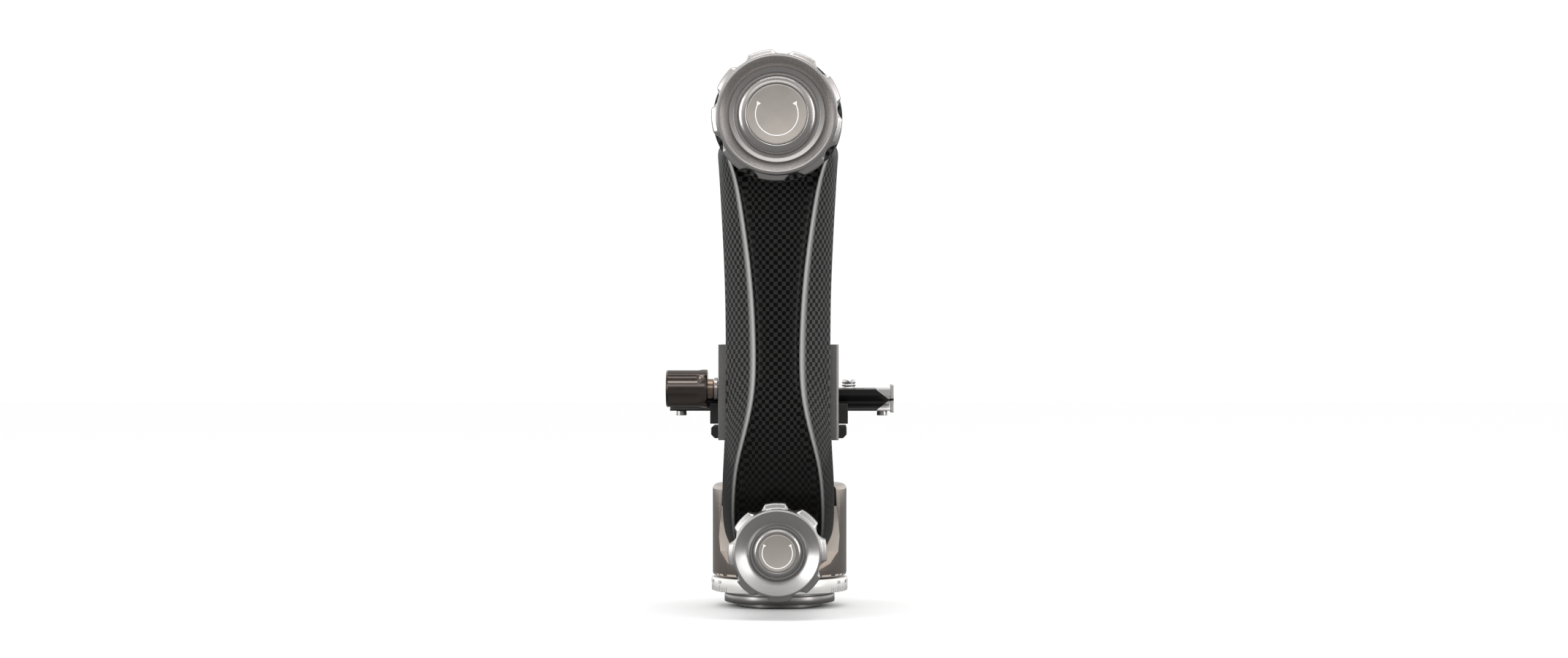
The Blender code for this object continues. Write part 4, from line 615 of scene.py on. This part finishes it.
settle(head, "pan", "carbon_fibre", woven_carbon("head_carbon", weave_square, head_lengths))
heel = on_lathe(
    "arm_heel", "Z", (0, 0, 0),
    [(0.5 * mm, cup_floor + 0.3 * mm), (cup_radius - 1.3 * mm, cup_floor + 0.3 * mm),
     (cup_radius - 0.3 * mm, cup_floor + 1.3 * mm), (cup_radius - 0.3 * mm, heel_top - 1.0 * mm),
     (cup_radius - 0.6 * mm, heel_top - 0.3 * mm), (cup_radius - 1.3 * mm, heel_top), (0.5 * mm, heel_top)],
    segments=160,
)
for bolt in ("arm_bolt_right", "arm_bolt_left"):
    low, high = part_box(bolt)
    spot = ((low.x + high.x) / 2, (low.y + high.y) / 2, 0)
    bolt_way = [(3.5 * mm, cup_floor - 1 * mm), (3.5 * mm, heel_top + 1 * mm)]
    cut_with(heel, on_lathe("bolt_cutter", "Z", spot, bolt_way, segments=48))
bpy.ops.object.shade_smooth_by_angle(angle=math.radians(30))


def flat_lengths(tree):
    """The lengths across the heel's top, in millimetres."""
    spot = add_node(tree, "TexCoord").outputs["Object"]
    return add_node(tree, "VectorMath", {0: spot, "Scale": 1 / mm}, operation="SCALE").outputs["Vector"]


settle(heel, "pan", "carbon_fibre", woven_carbon("heel_carbon", weave_square, flat_lengths))

# Lock knobs: each is turned from aluminium, dished at the front, with scalloped lobes that are knurled.
# A sandblasted cap is pressed into the middle, with an arc and two arrows for the way it turns.
knurl, knurl_in, knurl_out = new_group(
    "knurl",
    [("Vector", "NodeSocketVector", None), ("Radius", "NodeSocketFloat", 27.0),
     ("Pitch", "NodeSocketFloat", 0.55)],
    [("Height", "NodeSocketFloat")],
)
place = add_node(knurl, "SeparateXYZ", {0: knurl_in.outputs["Vector"]})
turn = math_of(knurl, "ARCTAN2", place.outputs[1], place.outputs[0])
radius_in, pitch_in = knurl_in.outputs["Radius"], knurl_in.outputs["Pitch"]
lap = math_of(knurl, "DIVIDE", math_of(knurl, "MULTIPLY", turn, radius_in), pitch_in)
rise = math_of(knurl, "DIVIDE", math_of(knurl, "MULTIPLY", place.outputs[2], 1 / mm), pitch_in)
ways = []
for operation in ("ADD", "SUBTRACT"):
    half_turns = math_of(knurl, "MULTIPLY", math_of(knurl, operation, lap, rise), math.pi)
    ways.append(math_of(knurl, "ABSOLUTE", math_of(knurl, "SINE", half_turns)))
edge = math_of(knurl, "SUBTRACT", radius_in, 0.4)
on_lobes = math_of(knurl, "GREATER_THAN", math_of(knurl, "MULTIPLY", reach_of(knurl, place), 1 / mm), edge)
knurl.links.new(math_of(knurl, "MULTIPLY", math_of(knurl, "MULTIPLY", *ways), on_lobes),
                knurl_out.inputs["Height"])


def knurled_metal(name, centre, colour, rough, tip):
    """Turned metal whose lobes are knurled out at their tips."""
    finish = turned_metal(name, "Y", centre, colour, rough)
    tree = finish.node_tree
    shader = tree.nodes["Principled BSDF"]
    cut = add_node(tree, "Group", {}, node_tree=knurl)
    local = [node for node in tree.nodes if node.bl_idname == "ShaderNodeVectorRotate"][0]
    tree.links.new(local.outputs[0], cut.inputs["Vector"])
    cut.inputs["Radius"].default_value = tip / mm
    add_bump(tree, shader, cut.outputs["Height"], 0.22, 0.10 * mm)
    return finish


def add_lobes(knob, centre, lobes, turn, rim, tip, from_y, to_y):
    """Draws the side of a turned knob out into lobes with hollows between them, and chamfers their ends."""
    pitch = math.tau / lobes
    crest = 0.27 * pitch
    for vertex in knob.data.vertices:
        x, z = vertex.co.x - centre[0], vertex.co.z - centre[2]
        radius = math.hypot(x, z)
        if radius < rim - 0.05 * mm or not from_y - 0.01 * mm < vertex.co.y < to_y + 0.01 * mm:
            continue
        step = (math.atan2(z, x) - turn + crest) % pitch
        dip = math.sin(math.pi * max(0.0, step - 2 * crest) / (pitch - 2 * crest)) ** 0.8
        share = min(1.0, (vertex.co.y - from_y) / (1.2 * mm), (to_y - vertex.co.y) / (1.2 * mm))
        grow = (rim + share * (tip - rim) * (1 - dip)) / rim
        vertex.co.x, vertex.co.z = centre[0] + x * grow, centre[2] + z * grow


def side_rings(radius, low, high, count):
    """Rings up the side of a knob, close together at its ends."""
    steps = [0.3 * mm * k for k in range(5)]
    near = [low + step for step in steps]
    far = [high - step for step in reversed(steps)]
    middle = [near[-1] + (far[0] - near[-1]) * k / count for k in range(1, count)]
    return [(radius, place) for place in (*near, *middle, *far)]


low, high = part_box("tilt_lock_knob")
tilt_front, tilt_back = low.y, high.y
tilt_centre = (0, 0, tilt_z)
rim, tip = 25.3 * mm, 27.5 * mm
lobes_from, lobes_to = tilt_front + 5.0 * mm, tilt_front + 17.9 * mm
face = [(12.9, 3.4), (12.9, 2.15), (13.1, 2.0), (13.6, 2.0), (14.3, 2.1), (15.0, 2.36), (15.7, 2.78),
        (16.3, 3.3), (16.65, 3.9), (16.75, 6.2), (17.7, 6.2), (17.75, 4.6), (17.95, 4.45), (18.6, 4.3),
        (19.7, 4.3), (19.9, 4.22), (23.55, 0.08), (23.75, 0.0), (24.7, 0.0), (25.0, 0.12), (25.2, 0.35),
        (25.3, 0.7)]
tilt_knob = on_lathe(
    "tilt_knob_turned", "Y", tilt_centre,
    [(1.0 * mm, tilt_front + 3.4 * mm), *((r * mm, tilt_front + d * mm) for r, d in face),
     *side_rings(rim, lobes_from, lobes_to, 4),
     (24.3 * mm, tilt_front + 18.4 * mm), (14.5 * mm, tilt_front + 19.8 * mm),
     (14.2 * mm, tilt_front + 20.0 * mm), (14.2 * mm, tilt_back - 0.3 * mm), (13.9 * mm, tilt_back),
     (12.0 * mm, tilt_back), (12.0 * mm, tilt_front + 12.0 * mm), (1.0 * mm, tilt_front + 12.0 * mm)],
    segments=360, smooth=24,
)
add_lobes(tilt_knob, tilt_centre, 9, math.radians(-95), rim, tip, lobes_from, lobes_to)
tilt_metal = knurled_metal("tilt_knob_finish", tilt_centre, (0.52, 0.497, 0.485), 0.27, tip)
settle(tilt_knob, "tilt_knob", "titanium_grey_aluminium", tilt_metal, "tilt_lock_knob")

low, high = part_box("pan_lock_knob")
pan_front, pan_back = low.y, high.y
pan_centre = (0, 0, (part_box("pan_lock_cap")[0].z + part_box("pan_lock_cap")[1].z) / 2)
pan_rim, pan_tip = 18.6 * mm, 21.0 * mm
lobes_from, lobes_to = pan_front + 3.6 * mm, pan_front + 14.4 * mm
face = [(8.3, 2.7), (8.3, 1.75), (8.45, 1.6), (9.1, 1.6), (9.4, 1.75), (10.1, 2.4), (10.3, 2.7), (10.8, 5.9),
        (11.5, 5.9), (11.6, 4.5), (11.85, 4.2), (12.0, 4.1), (17.6, 0.08), (17.8, 0.0), (18.1, 0.05),
        (18.4, 0.2), (18.55, 0.4), (18.6, 0.7)]
pan_knob = on_lathe(
    "pan_knob_turned", "Y", pan_centre,
    [(1.0 * mm, pan_front + 2.7 * mm), *((r * mm, pan_front + d * mm) for r, d in face),
     *side_rings(pan_rim, lobes_from, lobes_to, 4),
     (17.4 * mm, pan_front + 15.2 * mm), (10.8 * mm, pan_front + 16.7 * mm),
     (10.5 * mm, pan_front + 17.0 * mm), (10.5 * mm, pan_back - 0.3 * mm), (10.2 * mm, pan_back),
     (6.3 * mm, pan_back), (6.3 * mm, pan_front + 8.0 * mm), (1.0 * mm, pan_front + 8.0 * mm)],
    segments=320, smooth=24,
)
add_lobes(pan_knob, pan_centre, 8, math.radians(93), pan_rim, pan_tip, lobes_from, lobes_to)
pan_metal = knurled_metal("pan_knob_finish", pan_centre, (0.56, 0.547, 0.535), 0.30, pan_tip)
settle(pan_knob, "pan_knob", "titanium_grey_aluminium", pan_metal, "pan_lock_knob")

# Sandblasting: close pits all over, with faint cloudy patches
blasted, blast_in, blast_out = new_group(
    "blasted",
    [("Vector", "NodeSocketVector", None), ("Grains", "NodeSocketFloat", 5200.0)],
    [("Pits", "NodeSocketFloat"), ("Patches", "NodeSocketFloat")],
)
pits = add_node(blasted, "TexNoise", {"Vector": blast_in.outputs["Vector"],
                                                "Scale": blast_in.outputs["Grains"], "Detail": 3.0})
clouds = add_node(blasted, "TexNoise", {"Vector": blast_in.outputs["Vector"], "Scale": 160.0,
                                                  "Detail": 2.0})
blasted.links.new(pits.outputs["Fac"], blast_out.inputs["Pits"])
blasted.links.new(clouds.outputs["Fac"], blast_out.inputs["Patches"])


def blasted_metal(name, colour, rough, shine=1.0, depth=0.12, grains=5200.0):
    """Aluminium that was sandblasted, and then anodised."""
    finish, tree, shader = new_finish(name)
    spot = add_node(tree, "TexCoord").outputs["Object"]
    grain = add_node(tree, "Group", {}, node_tree=blasted)
    tree.links.new(spot, grain.inputs["Vector"])
    grain.inputs["Grains"].default_value = grains
    dark = tuple(0.84 * c for c in colour)
    tree.links.new(blend_of(tree, grain.outputs["Patches"], dark, colour), shader.inputs["Base Color"])
    tree.links.new(range_of(tree, grain.outputs["Pits"], rough - 0.06, rough + 0.08, 0.3, 0.7),
                   shader.inputs["Roughness"])
    add_bump(tree, shader, grain.outputs["Pits"], depth, 0.1 * mm)
    shader.inputs["Metallic"].default_value = shine
    return finish


white_ink = blasted_metal("white_ink", (0.86, 0.86, 0.85), 0.55, shine=0.0, depth=0.05)
cap_metal = blasted_metal("cap_finish", (0.57, 0.525, 0.482), 0.46, shine=0.85, depth=0.35, grains=2600.0)


def arc_of_ink(name, centre, radius, width, front, start, end):
    """A printed arc: a small square spun part of a turn about the knob's axis."""
    bpy.ops.object.select_all(action="DESELECT")
    spot = (centre[0] + radius * math.cos(start), front, centre[2] + radius * math.sin(start))
    bpy.ops.mesh.primitive_plane_add(size=1, location=spot, rotation=(0, -start, 0))
    line = bpy.context.object
    line.name = name
    line.scale = (width, 0.06 * mm, 1)
    bpy.ops.object.transform_apply(location=True, rotation=True, scale=True)
    bpy.ops.object.mode_set(mode="EDIT")
    bpy.ops.mesh.select_all(action="SELECT")
    bpy.ops.mesh.spin(steps=64, angle=end - start, center=centre, axis=(0, 1, 0))
    bpy.ops.mesh.select_all(action="SELECT")
    bpy.ops.mesh.remove_doubles(threshold=0.001 * mm)
    bpy.ops.mesh.normals_make_consistent(inside=False)
    bpy.ops.object.mode_set(mode="OBJECT")
    return line


def arrow_of_ink(name, centre, radius, front, angle, way, size):
    """A printed arrowhead at an end of the arc."""
    bpy.ops.object.select_all(action="DESELECT")
    spot = (centre[0] + radius * math.cos(angle), front, centre[2] + radius * math.sin(angle))
    bpy.ops.mesh.primitive_circle_add(vertices=3, radius=size, fill_type="NGON", location=spot,
                                      rotation=(math.radians(90), -angle + (math.pi if way < 0 else 0), 0))
    head_of_arrow = bpy.context.object
    head_of_arrow.name = name
    bpy.ops.object.mode_set(mode="EDIT")
    bpy.ops.mesh.select_all(action="SELECT")
    bpy.ops.mesh.extrude_region_move(TRANSFORM_OT_translate={"value": (0, 0.03 * mm, 0)})
    bpy.ops.mesh.select_all(action="SELECT")
    bpy.ops.mesh.normals_make_consistent(inside=False)
    bpy.ops.object.mode_set(mode="OBJECT")
    bpy.ops.object.transform_apply(location=True, rotation=True, scale=True)
    return head_of_arrow


for knob, centre, front, cap_radius, arc_radius, behind, marks in (
    ("tilt", tilt_centre, tilt_front, 12.6 * mm, 8.9 * mm, 2.0 * mm, 1.1 * mm),
    ("pan", pan_centre, pan_front, 8.0 * mm, 6.4 * mm, 1.6 * mm, 0.8 * mm),
):
    cap_front = front + behind
    cap_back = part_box(f"{knob}_lock_cap")[1].y
    cap = on_lathe(
        f"{knob}_cap_turned", "Y", centre,
        [(0.5 * mm, cap_front + 0.06 * mm), (cap_radius - 0.9 * mm, cap_front + 0.06 * mm),
         (cap_radius - 0.7 * mm, cap_front), (cap_radius - 0.25 * mm, cap_front),
         (cap_radius - 0.07 * mm, cap_front + 0.07 * mm), (cap_radius, cap_front + 0.25 * mm),
         (cap_radius, cap_back), (0.5 * mm, cap_back)],
        segments=160,
    )
    settle(cap, f"{knob}_knob", "sandblasted_aluminium", cap_metal, f"{knob}_lock_cap")
    ink_front = cap_front + 0.04 * mm
    start, end = math.radians(150), math.radians(390)
    line = arc_of_ink(f"{knob}_cap_arc", centre, arc_radius, 0.34 * mm, ink_front, start, end)
    arrows = [arrow_of_ink(f"{knob}_arrow_{way}", centre, arc_radius, ink_front, angle, way, marks)
              for angle, way in ((start, 1), (end, -1))]
    take_hold(line, *arrows)
    bpy.ops.object.join()
    settle(line, f"{knob}_knob", "sandblasted_aluminium", white_ink)

# Cradle: a dovetail rail screwed to a hub disc on the tilt axle, milled from bar and anodised dark grey.
# Two stop screws at its ends keep the bracket on it.


def dressed_copy(node, name, width, segments=3):
    """The shape of a solid as one mesh: its flat faces made whole, and its edges broken by a small round."""
    source = bpy.data.objects[node]
    work = source.copy()
    work.data = source.data.copy()
    work.name = name
    bpy.context.scene.collection.objects.link(work)
    for key in list(work.keys()):
        del work[key]
    take_hold(work)
    bpy.ops.object.mode_set(mode="EDIT")
    bpy.ops.mesh.select_all(action="SELECT")
    bpy.ops.mesh.remove_doubles(threshold=0.002 * mm)
    bpy.ops.mesh.dissolve_limited(angle_limit=math.radians(0.5))
    bpy.ops.mesh.normals_make_consistent(inside=False)
    bpy.ops.object.mode_set(mode="OBJECT")
    modifier = work.modifiers.new("Edges", "BEVEL")
    modifier.width = width
    modifier.segments = segments
    modifier.limit_method = "ANGLE"
    modifier.angle_limit = math.radians(30)
    modifier.use_clamp_overlap = True
    bpy.ops.object.modifier_apply(modifier=modifier.name)
    bpy.ops.object.shade_smooth_by_angle(angle=math.radians(30))
    modifier = work.modifiers.new("Normals", "WEIGHTED_NORMAL")
    modifier.keep_sharp = True
    bpy.ops.object.modifier_apply(modifier=modifier.name)
    return work


def finish_solid(node, made, width, body, slot, finish, segments=3):
    """Stands a dressed copy in for a solid, under a name that ends in how it was made."""
    settle(dressed_copy(node, f"{node}_{made}", width, segments), body, slot, finish, node)


grey_metal = blasted_metal("grey_anodised", (0.38, 0.372, 0.365), 0.30, depth=0.05)
dark_metal = blasted_metal("dark_anodised", (0.085, 0.083, 0.082), 0.32, depth=0.05)
finish_solid("swing_rail", "milled", 0.2 * mm, "cradle", "grey_anodised_aluminium", grey_metal)
hub_metal = turned_metal("hub_finish", "Y", tilt_centre, (0.215, 0.208, 0.205), 0.30)
finish_solid("hub_disc", "turned", 0.25 * mm, "cradle", "grey_anodised_aluminium", hub_metal)

# Bracket: a flat wall that slides on the rail, with a shelf for the clamp, milled in one and anodised.
# The wall is grey, and what reaches out past its sides is darker.
bracket_metal = blasted_metal("bracket_finish", (0.38, 0.372, 0.365), 0.30, depth=0.05)
tree = bracket_metal.node_tree
wall_reach = 9.1 * mm
wall_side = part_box("swing_rail")[1].x + wall_reach
off_middle = math_of(tree, "ABSOLUTE", place_in(tree)[0])
beside_wall = math_of(tree, "GREATER_THAN", off_middle, wall_side + 0.1 * mm)
paint_over(bracket_metal, beside_wall, (0.07, 0.068, 0.067))
finish_solid("bracket", "milled", 0.45 * mm, "bracket", "grey_anodised_aluminium", bracket_metal)

# Height knob: turned from bar, with six long flutes that run out before a plain collar at its inner end.
# It is anodised gunmetal, and the stud that it turns is the colour of bronze.
low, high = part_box("height_lock_knob")
knob_out, knob_in = low.x, high.x
height_radius = (high.y - low.y) / 2
height_centre = (0, (low.y + high.y) / 2, (low.z + high.z) / 2)
flute_radius, flute_bite = 4.6 * mm, 1.1 * mm
flute_from, flute_to = knob_out + 1.6 * mm, knob_in - 5.2 * mm
places = [flute_from + (flute_to + 3.0 * mm - flute_from) * k / 40 for k in range(41)]
height_knob = on_lathe(
    "height_knob_turned", "X", height_centre,
    [(1.0 * mm, knob_out + 0.5 * mm), (height_radius - 2.2 * mm, knob_out + 0.5 * mm),
     (height_radius - 2.0 * mm, knob_out), (height_radius - 0.75 * mm, knob_out),
     (height_radius - 0.15 * mm, knob_out + 0.6 * mm), (height_radius, knob_out + 0.85 * mm),
     *((height_radius, place) for place in places), (height_radius, knob_in - 0.4 * mm),
     (height_radius - 0.12 * mm, knob_in - 0.12 * mm), (height_radius - 0.4 * mm, knob_in),
     (4.5 * mm, knob_in), (4.5 * mm, knob_in - 3.0 * mm), (1.0 * mm, knob_in - 3.0 * mm)],
    segments=288, smooth=26,
)
away = height_radius + flute_radius - flute_bite
flute_pitch = math.tau / 6
for vertex in height_knob.data.vertices:
    y, z = vertex.co.y - height_centre[1], vertex.co.z - height_centre[2]
    past = max(0.0, vertex.co.x - flute_to, flute_from - vertex.co.x)
    if math.hypot(y, z) < height_radius - 0.01 * mm or past >= flute_radius:
        continue
    turn = (math.atan2(z, y) % flute_pitch) - flute_pitch / 2
    reach_here = math.sqrt(flute_radius**2 - past**2)
    under = reach_here**2 - (away * math.sin(turn)) ** 2
    if under > 0:
        shrink = min(1.0, (away * math.cos(turn) - math.sqrt(under)) / height_radius)
        vertex.co.y, vertex.co.z = height_centre[1] + y * shrink, height_centre[2] + z * shrink
height_metal = turned_metal("height_knob_finish", "X", height_centre, (0.125, 0.106, 0.095), 0.17)
settle(height_knob, "height_knob", "gunmetal_aluminium", height_metal, "height_lock_knob")
steel_tone, knob_tone = (0.60, 0.59, 0.575), (0.47, 0.45, 0.44)
steel = turned_metal("steel_finish", "Z", (0, 0, 0), steel_tone, 0.22, lines=5000.0)
collar_metal = turned_metal("collar_finish", "X", height_centre, knob_tone, 0.26)
finish_solid("height_collar", "turned", 0.2 * mm, "height_knob", "titanium_grey_aluminium", collar_metal)
settle(dressed_copy("height_lock_stud", "height_stud_turned", 0.15 * mm), "height_knob", "stainless_steel",
       turned_metal("height_stud_finish", "X", height_centre, (0.30, 0.225, 0.175), 0.25), "height_lock_stud")

# Clamp: a body and a jaw with dovetail lips, milled from bar, that close on the plate.
# The jaw runs on two pins and is drawn in by a lobed knob at the back.
for node in ("clamp_body", "clamp_jaw"):
    body_name = "bracket" if node == "clamp_body" else "jaw"
    finish_solid(node, "milled", 0.35 * mm, body_name, "grey_anodised_aluminium", dark_metal)
low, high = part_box("clamp_knob")
clamp_centre = (0, 0, (low.z + high.z) / 2)
clamp_rim, clamp_tip = 8.1 * mm, 9.0 * mm
lobes_from, lobes_to = low.y + 5.0 * mm, high.y - 1.4 * mm
clamp_knob = on_lathe(
    "clamp_knob_turned", "Y", clamp_centre,
    [(1.9 * mm, low.y), (5.4 * mm, low.y), (5.4 * mm, low.y + 2.8 * mm), (5.7 * mm, low.y + 3.1 * mm),
     (7.6 * mm, low.y + 4.6 * mm), *side_rings(clamp_rim, lobes_from, lobes_to, 4),
     (7.9 * mm, high.y - 1.0 * mm), (7.4 * mm, high.y - 0.6 * mm), (5.6 * mm, high.y - 0.35 * mm),
     (5.4 * mm, high.y - 0.1 * mm), (5.2 * mm, high.y), (4.0 * mm, high.y), (3.8 * mm, high.y - 0.6 * mm),
     (0.6 * mm, high.y - 0.6 * mm), (0.6 * mm, low.y + 6.0 * mm), (1.9 * mm, low.y + 6.0 * mm),
     (1.9 * mm, low.y)],
    segments=240, smooth=26,
)
add_lobes(clamp_knob, clamp_centre, 6, 0.0, clamp_rim, clamp_tip, lobes_from, lobes_to)
settle(clamp_knob, "jaw_knob", "titanium_grey_aluminium",
       turned_metal("clamp_knob_finish", "Y", clamp_centre, knob_tone, 0.26), "clamp_knob")

# Lens plate: a dovetail bar milled from aluminium and anodised black, with a slot for the camera screw.
# An end stop is bolted on at the right, and a safety screw under each end keeps it in the clamp.
plate_metal = blasted_metal("plate_finish", (0.032, 0.032, 0.033), 0.32, shine=0.8, depth=0.05)
plate_low, plate_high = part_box("lens_plate")
plate_middle, plate_half = (plate_low.z + plate_high.z) / 2, (plate_high.z - plate_low.z) / 2
# Bare metal: the chamfers milled to a point at the right end, and the corners of the end stop
point_from, point_to = plate_high.x - 6.0 * mm, plate_high.x - 0.8 * mm
tree = plate_metal.node_tree
place = place_in(tree)
off_middle = math_of(tree, "ABSOLUTE", math_of(tree, "SUBTRACT", place[2], plate_middle))
core_half = range_of(tree, place[0], 0.92 * plate_half, 0.10 * plate_half, point_from, point_to)
past_core = math_of(tree, "GREATER_THAN", off_middle, core_half)
bare_tone = (0.62, 0.61, 0.60)
near_end = math_of(tree, "GREATER_THAN", place[0], point_from)
paint_over(plate_metal, math_of(tree, "MULTIPLY", past_core, near_end), bare_tone)
finish_solid("lens_plate", "milled", 0.3 * mm, "lens_plate", "black_anodised_aluminium", plate_metal)
finish_solid("end_stop", "milled", 0.35 * mm, "lens_plate", "black_anodised_aluminium", plate_metal)
low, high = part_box("camera_screw")
screw_x = (low.x + high.x) / 2
head_top = low.z + 2.9 * mm
thread_root, thread_crest, thread_pitch = 2.75 * mm, 3.175 * mm, 1.27 * mm
threads = []
turn_at = plate_high.z - 3.0 * mm
while turn_at + thread_pitch < high.z - 0.4 * mm:
    threads += [(thread_root, turn_at), (thread_root, turn_at + 0.12 * thread_pitch),
                (thread_crest, turn_at + 0.5 * thread_pitch), (thread_crest, turn_at + 0.6 * thread_pitch)]
    turn_at += thread_pitch
camera_screw = on_lathe(
    "camera_screw_turned", "Z", (screw_x, 0, 0),
    [(2.2 * mm, low.z + 2.0 * mm), (2.2 * mm, low.z), (5.2 * mm, low.z), (5.5 * mm, low.z + 0.3 * mm),
     (5.5 * mm, head_top - 0.3 * mm), (5.2 * mm, head_top), (thread_crest, head_top),
     (thread_crest, plate_high.z - 3.2 * mm), *threads, (thread_root, high.z - 0.25 * mm),
     (thread_root - 0.25 * mm, high.z), (0.3 * mm, high.z)],
    segments=96, smooth=24,
)
settle(camera_screw, "lens_plate", "stainless_steel",
       turned_metal("camera_screw_finish", "Z", (screw_x, 0, 0), bare_tone, 0.20, lines=5000.0),
       "camera_screw")
for side in ("left", "right"):
    finish_solid(f"safety_screw_{side}", "turned", 0.15 * mm, "lens_plate", "stainless_steel", steel)

# Bearings, washers, screws and the rest of the turned parts: each keeps its solid, with its broken edges.
# Steel is ground bright, screws are black oxide, the brake parts are brass, and the washers are plastic.
brass = turned_metal("brass_finish", "Y", tilt_centre, (0.60, 0.46, 0.22), 0.30)
black_steel = blasted_metal("black_oxide", (0.05, 0.05, 0.052), 0.36, shine=0.8, depth=0.05)
plastic = blasted_metal("bearing_plastic", (0.03, 0.03, 0.031), 0.48, shine=0.0, depth=0.08)
insert_metal = turned_metal("head_insert_finish", "Y", tilt_centre, (0.40, 0.385, 0.375), 0.28)
axle_steel = turned_metal("axle_finish", "Y", tilt_centre, steel_tone, 0.22, lines=5000.0)
pan_steel = turned_metal("pan_steel_finish", "Y", pan_centre, steel_tone, 0.22, lines=5000.0)
for names, body_name, slot_name, finish in (
    (("thread_insert", "pan_spindle", "spindle_nut"), "base", "stainless_steel", steel),
    (("base_screw_1", "base_screw_2", "base_screw_3"), "base", "black_oxide_steel", black_steel),
    (("pan_thrust_washer",), "pan", "black_bearing_plastic", plastic),
    (("arm_bolt_left", "arm_bolt_right"), "pan", "black_oxide_steel", black_steel),
    (("head_insert", "bearing_spacer"), "pan", "satin_aluminium", insert_metal),
    (("tilt_bearing_outer", "tilt_bearing_inner"), "pan", "stainless_steel", axle_steel),
    (("pan_lock_bush",), "pan", "stainless_steel", pan_steel),
    (("pan_brake_shoe",), "pan_brake", "brass", brass),
    (("pan_lock_stud",), "pan_knob", "stainless_steel", pan_steel),
    (("tilt_brake_piston",), "tilt_brake", "brass", brass),
    (("tilt_axle", "axle_nut"), "cradle", "stainless_steel", axle_steel),
    (("tilt_thrust_washer",), "cradle", "black_bearing_plastic", plastic),
    (("rail_screw_upper", "rail_screw_lower", "rail_stop_upper", "rail_stop_lower"), "cradle",
     "black_oxide_steel", black_steel),
    (("clamp_screw_left", "clamp_screw_right"), "bracket", "black_oxide_steel", black_steel),
    (("jaw_pin_left", "jaw_pin_right"), "bracket", "stainless_steel", axle_steel),
    (("jaw_stud",), "jaw_knob", "stainless_steel", axle_steel),
    (("height_gib",), "height_gib", "brass", brass),
    (("end_stop_bolt",), "lens_plate", "black_oxide_steel", black_steel),
):
    for node in names:
        finish_solid(node, "finished", 0.12 * mm, body_name, slot_name, finish, segments=2)

# Floor: one flat pale sheet, a tenth of a millimetre under the base, that runs back as far as the view.
# It shows darker in the metal's reflections, so that the knobs keep their dark bands.
bpy.ops.object.select_all(action="DESELECT")
bpy.ops.mesh.primitive_plane_add(size=8, location=(0, 0, -0.1 * mm))
floor = bpy.context.object
floor.name = "floor"
bpy.ops.object.transform_apply(location=True, rotation=True, scale=True)
pale, pale_tree, pale_shader = new_finish("pale_floor")
mottle = add_node(pale_tree, "TexNoise", {"Scale": 3.0, "Detail": 2.0})
pale_tree.links.new(blend_of(pale_tree, mottle.outputs["Fac"], (0.93, 0.93, 0.93), (0.95, 0.95, 0.95)),
                    pale_shader.inputs["Base Color"])
pale_shader.inputs["Roughness"].default_value = 0.9
pale_shader.inputs["Specular IOR Level"].default_value = 0.0
in_metal = add_node(pale_tree, "LightPath").outputs["Is Glossy Ray"]
dim = add_node(pale_tree, "BsdfDiffuse", {"Color": (0.20, 0.20, 0.20, 1)})
shown = add_node(pale_tree, "MixShader", {0: in_metal, 1: pale_shader.outputs[0], 2: dim.outputs[0]})
pale_tree.links.new(shown.outputs[0], pale_tree.nodes["Material Output"].inputs["Surface"])
floor.data.materials.append(pale)

# Light: a large soft box at each side, one in front and one over the top, in a plain white surround.
# In the metal's reflections the surround is dark, and grows light to each side, behind and overhead.
world = bpy.data.worlds.new("surround")
bpy.context.scene.world = world
world.use_nodes = True
sky = world.node_tree
sky.nodes.clear()
way = add_node(sky, "SeparateXYZ", {0: add_node(sky, "TexCoord").outputs["Generated"]})
aside = math_of(sky, "ABSOLUTE", way.outputs[0])
shares = [range_of(sky, way.outputs[1], 0.0, 0.5, 0.1, 0.7), range_of(sky, aside, 0.0, 0.75, 0.12, 0.75),
          range_of(sky, way.outputs[2], 0.0, 0.30, 0.55, 0.95)]
dark_share = 0.24
strength = dark_share
for share in shares:
    strength = math_of(sky, "ADD", strength, share)
lit = add_node(sky, "Background", {"Color": (1, 1, 1, 1), "Strength": strength})
plain_white = add_node(sky, "Background", {"Color": (1, 1, 1, 1), "Strength": 1.05})
in_gloss = add_node(sky, "LightPath").outputs["Is Glossy Ray"]
either = add_node(sky, "MixShader", {0: in_gloss, 1: plain_white.outputs[0], 2: lit.outputs[0]})
add_node(sky, "OutputWorld", {"Surface": either.outputs[0]})


def soft_box(name, place, target, wide, tall, power):
    """A rectangular light turned towards a point."""
    data = bpy.data.lights.new(name, "AREA")
    data.shape = "RECTANGLE"
    data.size, data.size_y = wide, tall
    data.energy = power
    light = bpy.data.objects.new(name, data)
    light.location = place
    light.rotation_euler = (Vector(target) - Vector(place)).to_track_quat("-Z", "Y").to_euler()
    bpy.context.scene.collection.objects.link(light)


middle = (0, -0.03, 0.12)
soft_box("left_box", (-0.85, -0.55, 0.25), middle, 0.30, 0.9, 2.8)
soft_box("right_box", (0.9, -0.45, 0.25), middle, 0.28, 0.9, 2.5)
soft_box("front_box", (-0.1, -1.6, 0.75), middle, 0.9, 0.5, 2.2)
soft_box("top_box", (0.0, -0.2, 0.95), middle, 0.7, 0.4, 2.6)
bpy.context.scene.view_settings.view_transform = "Standard"
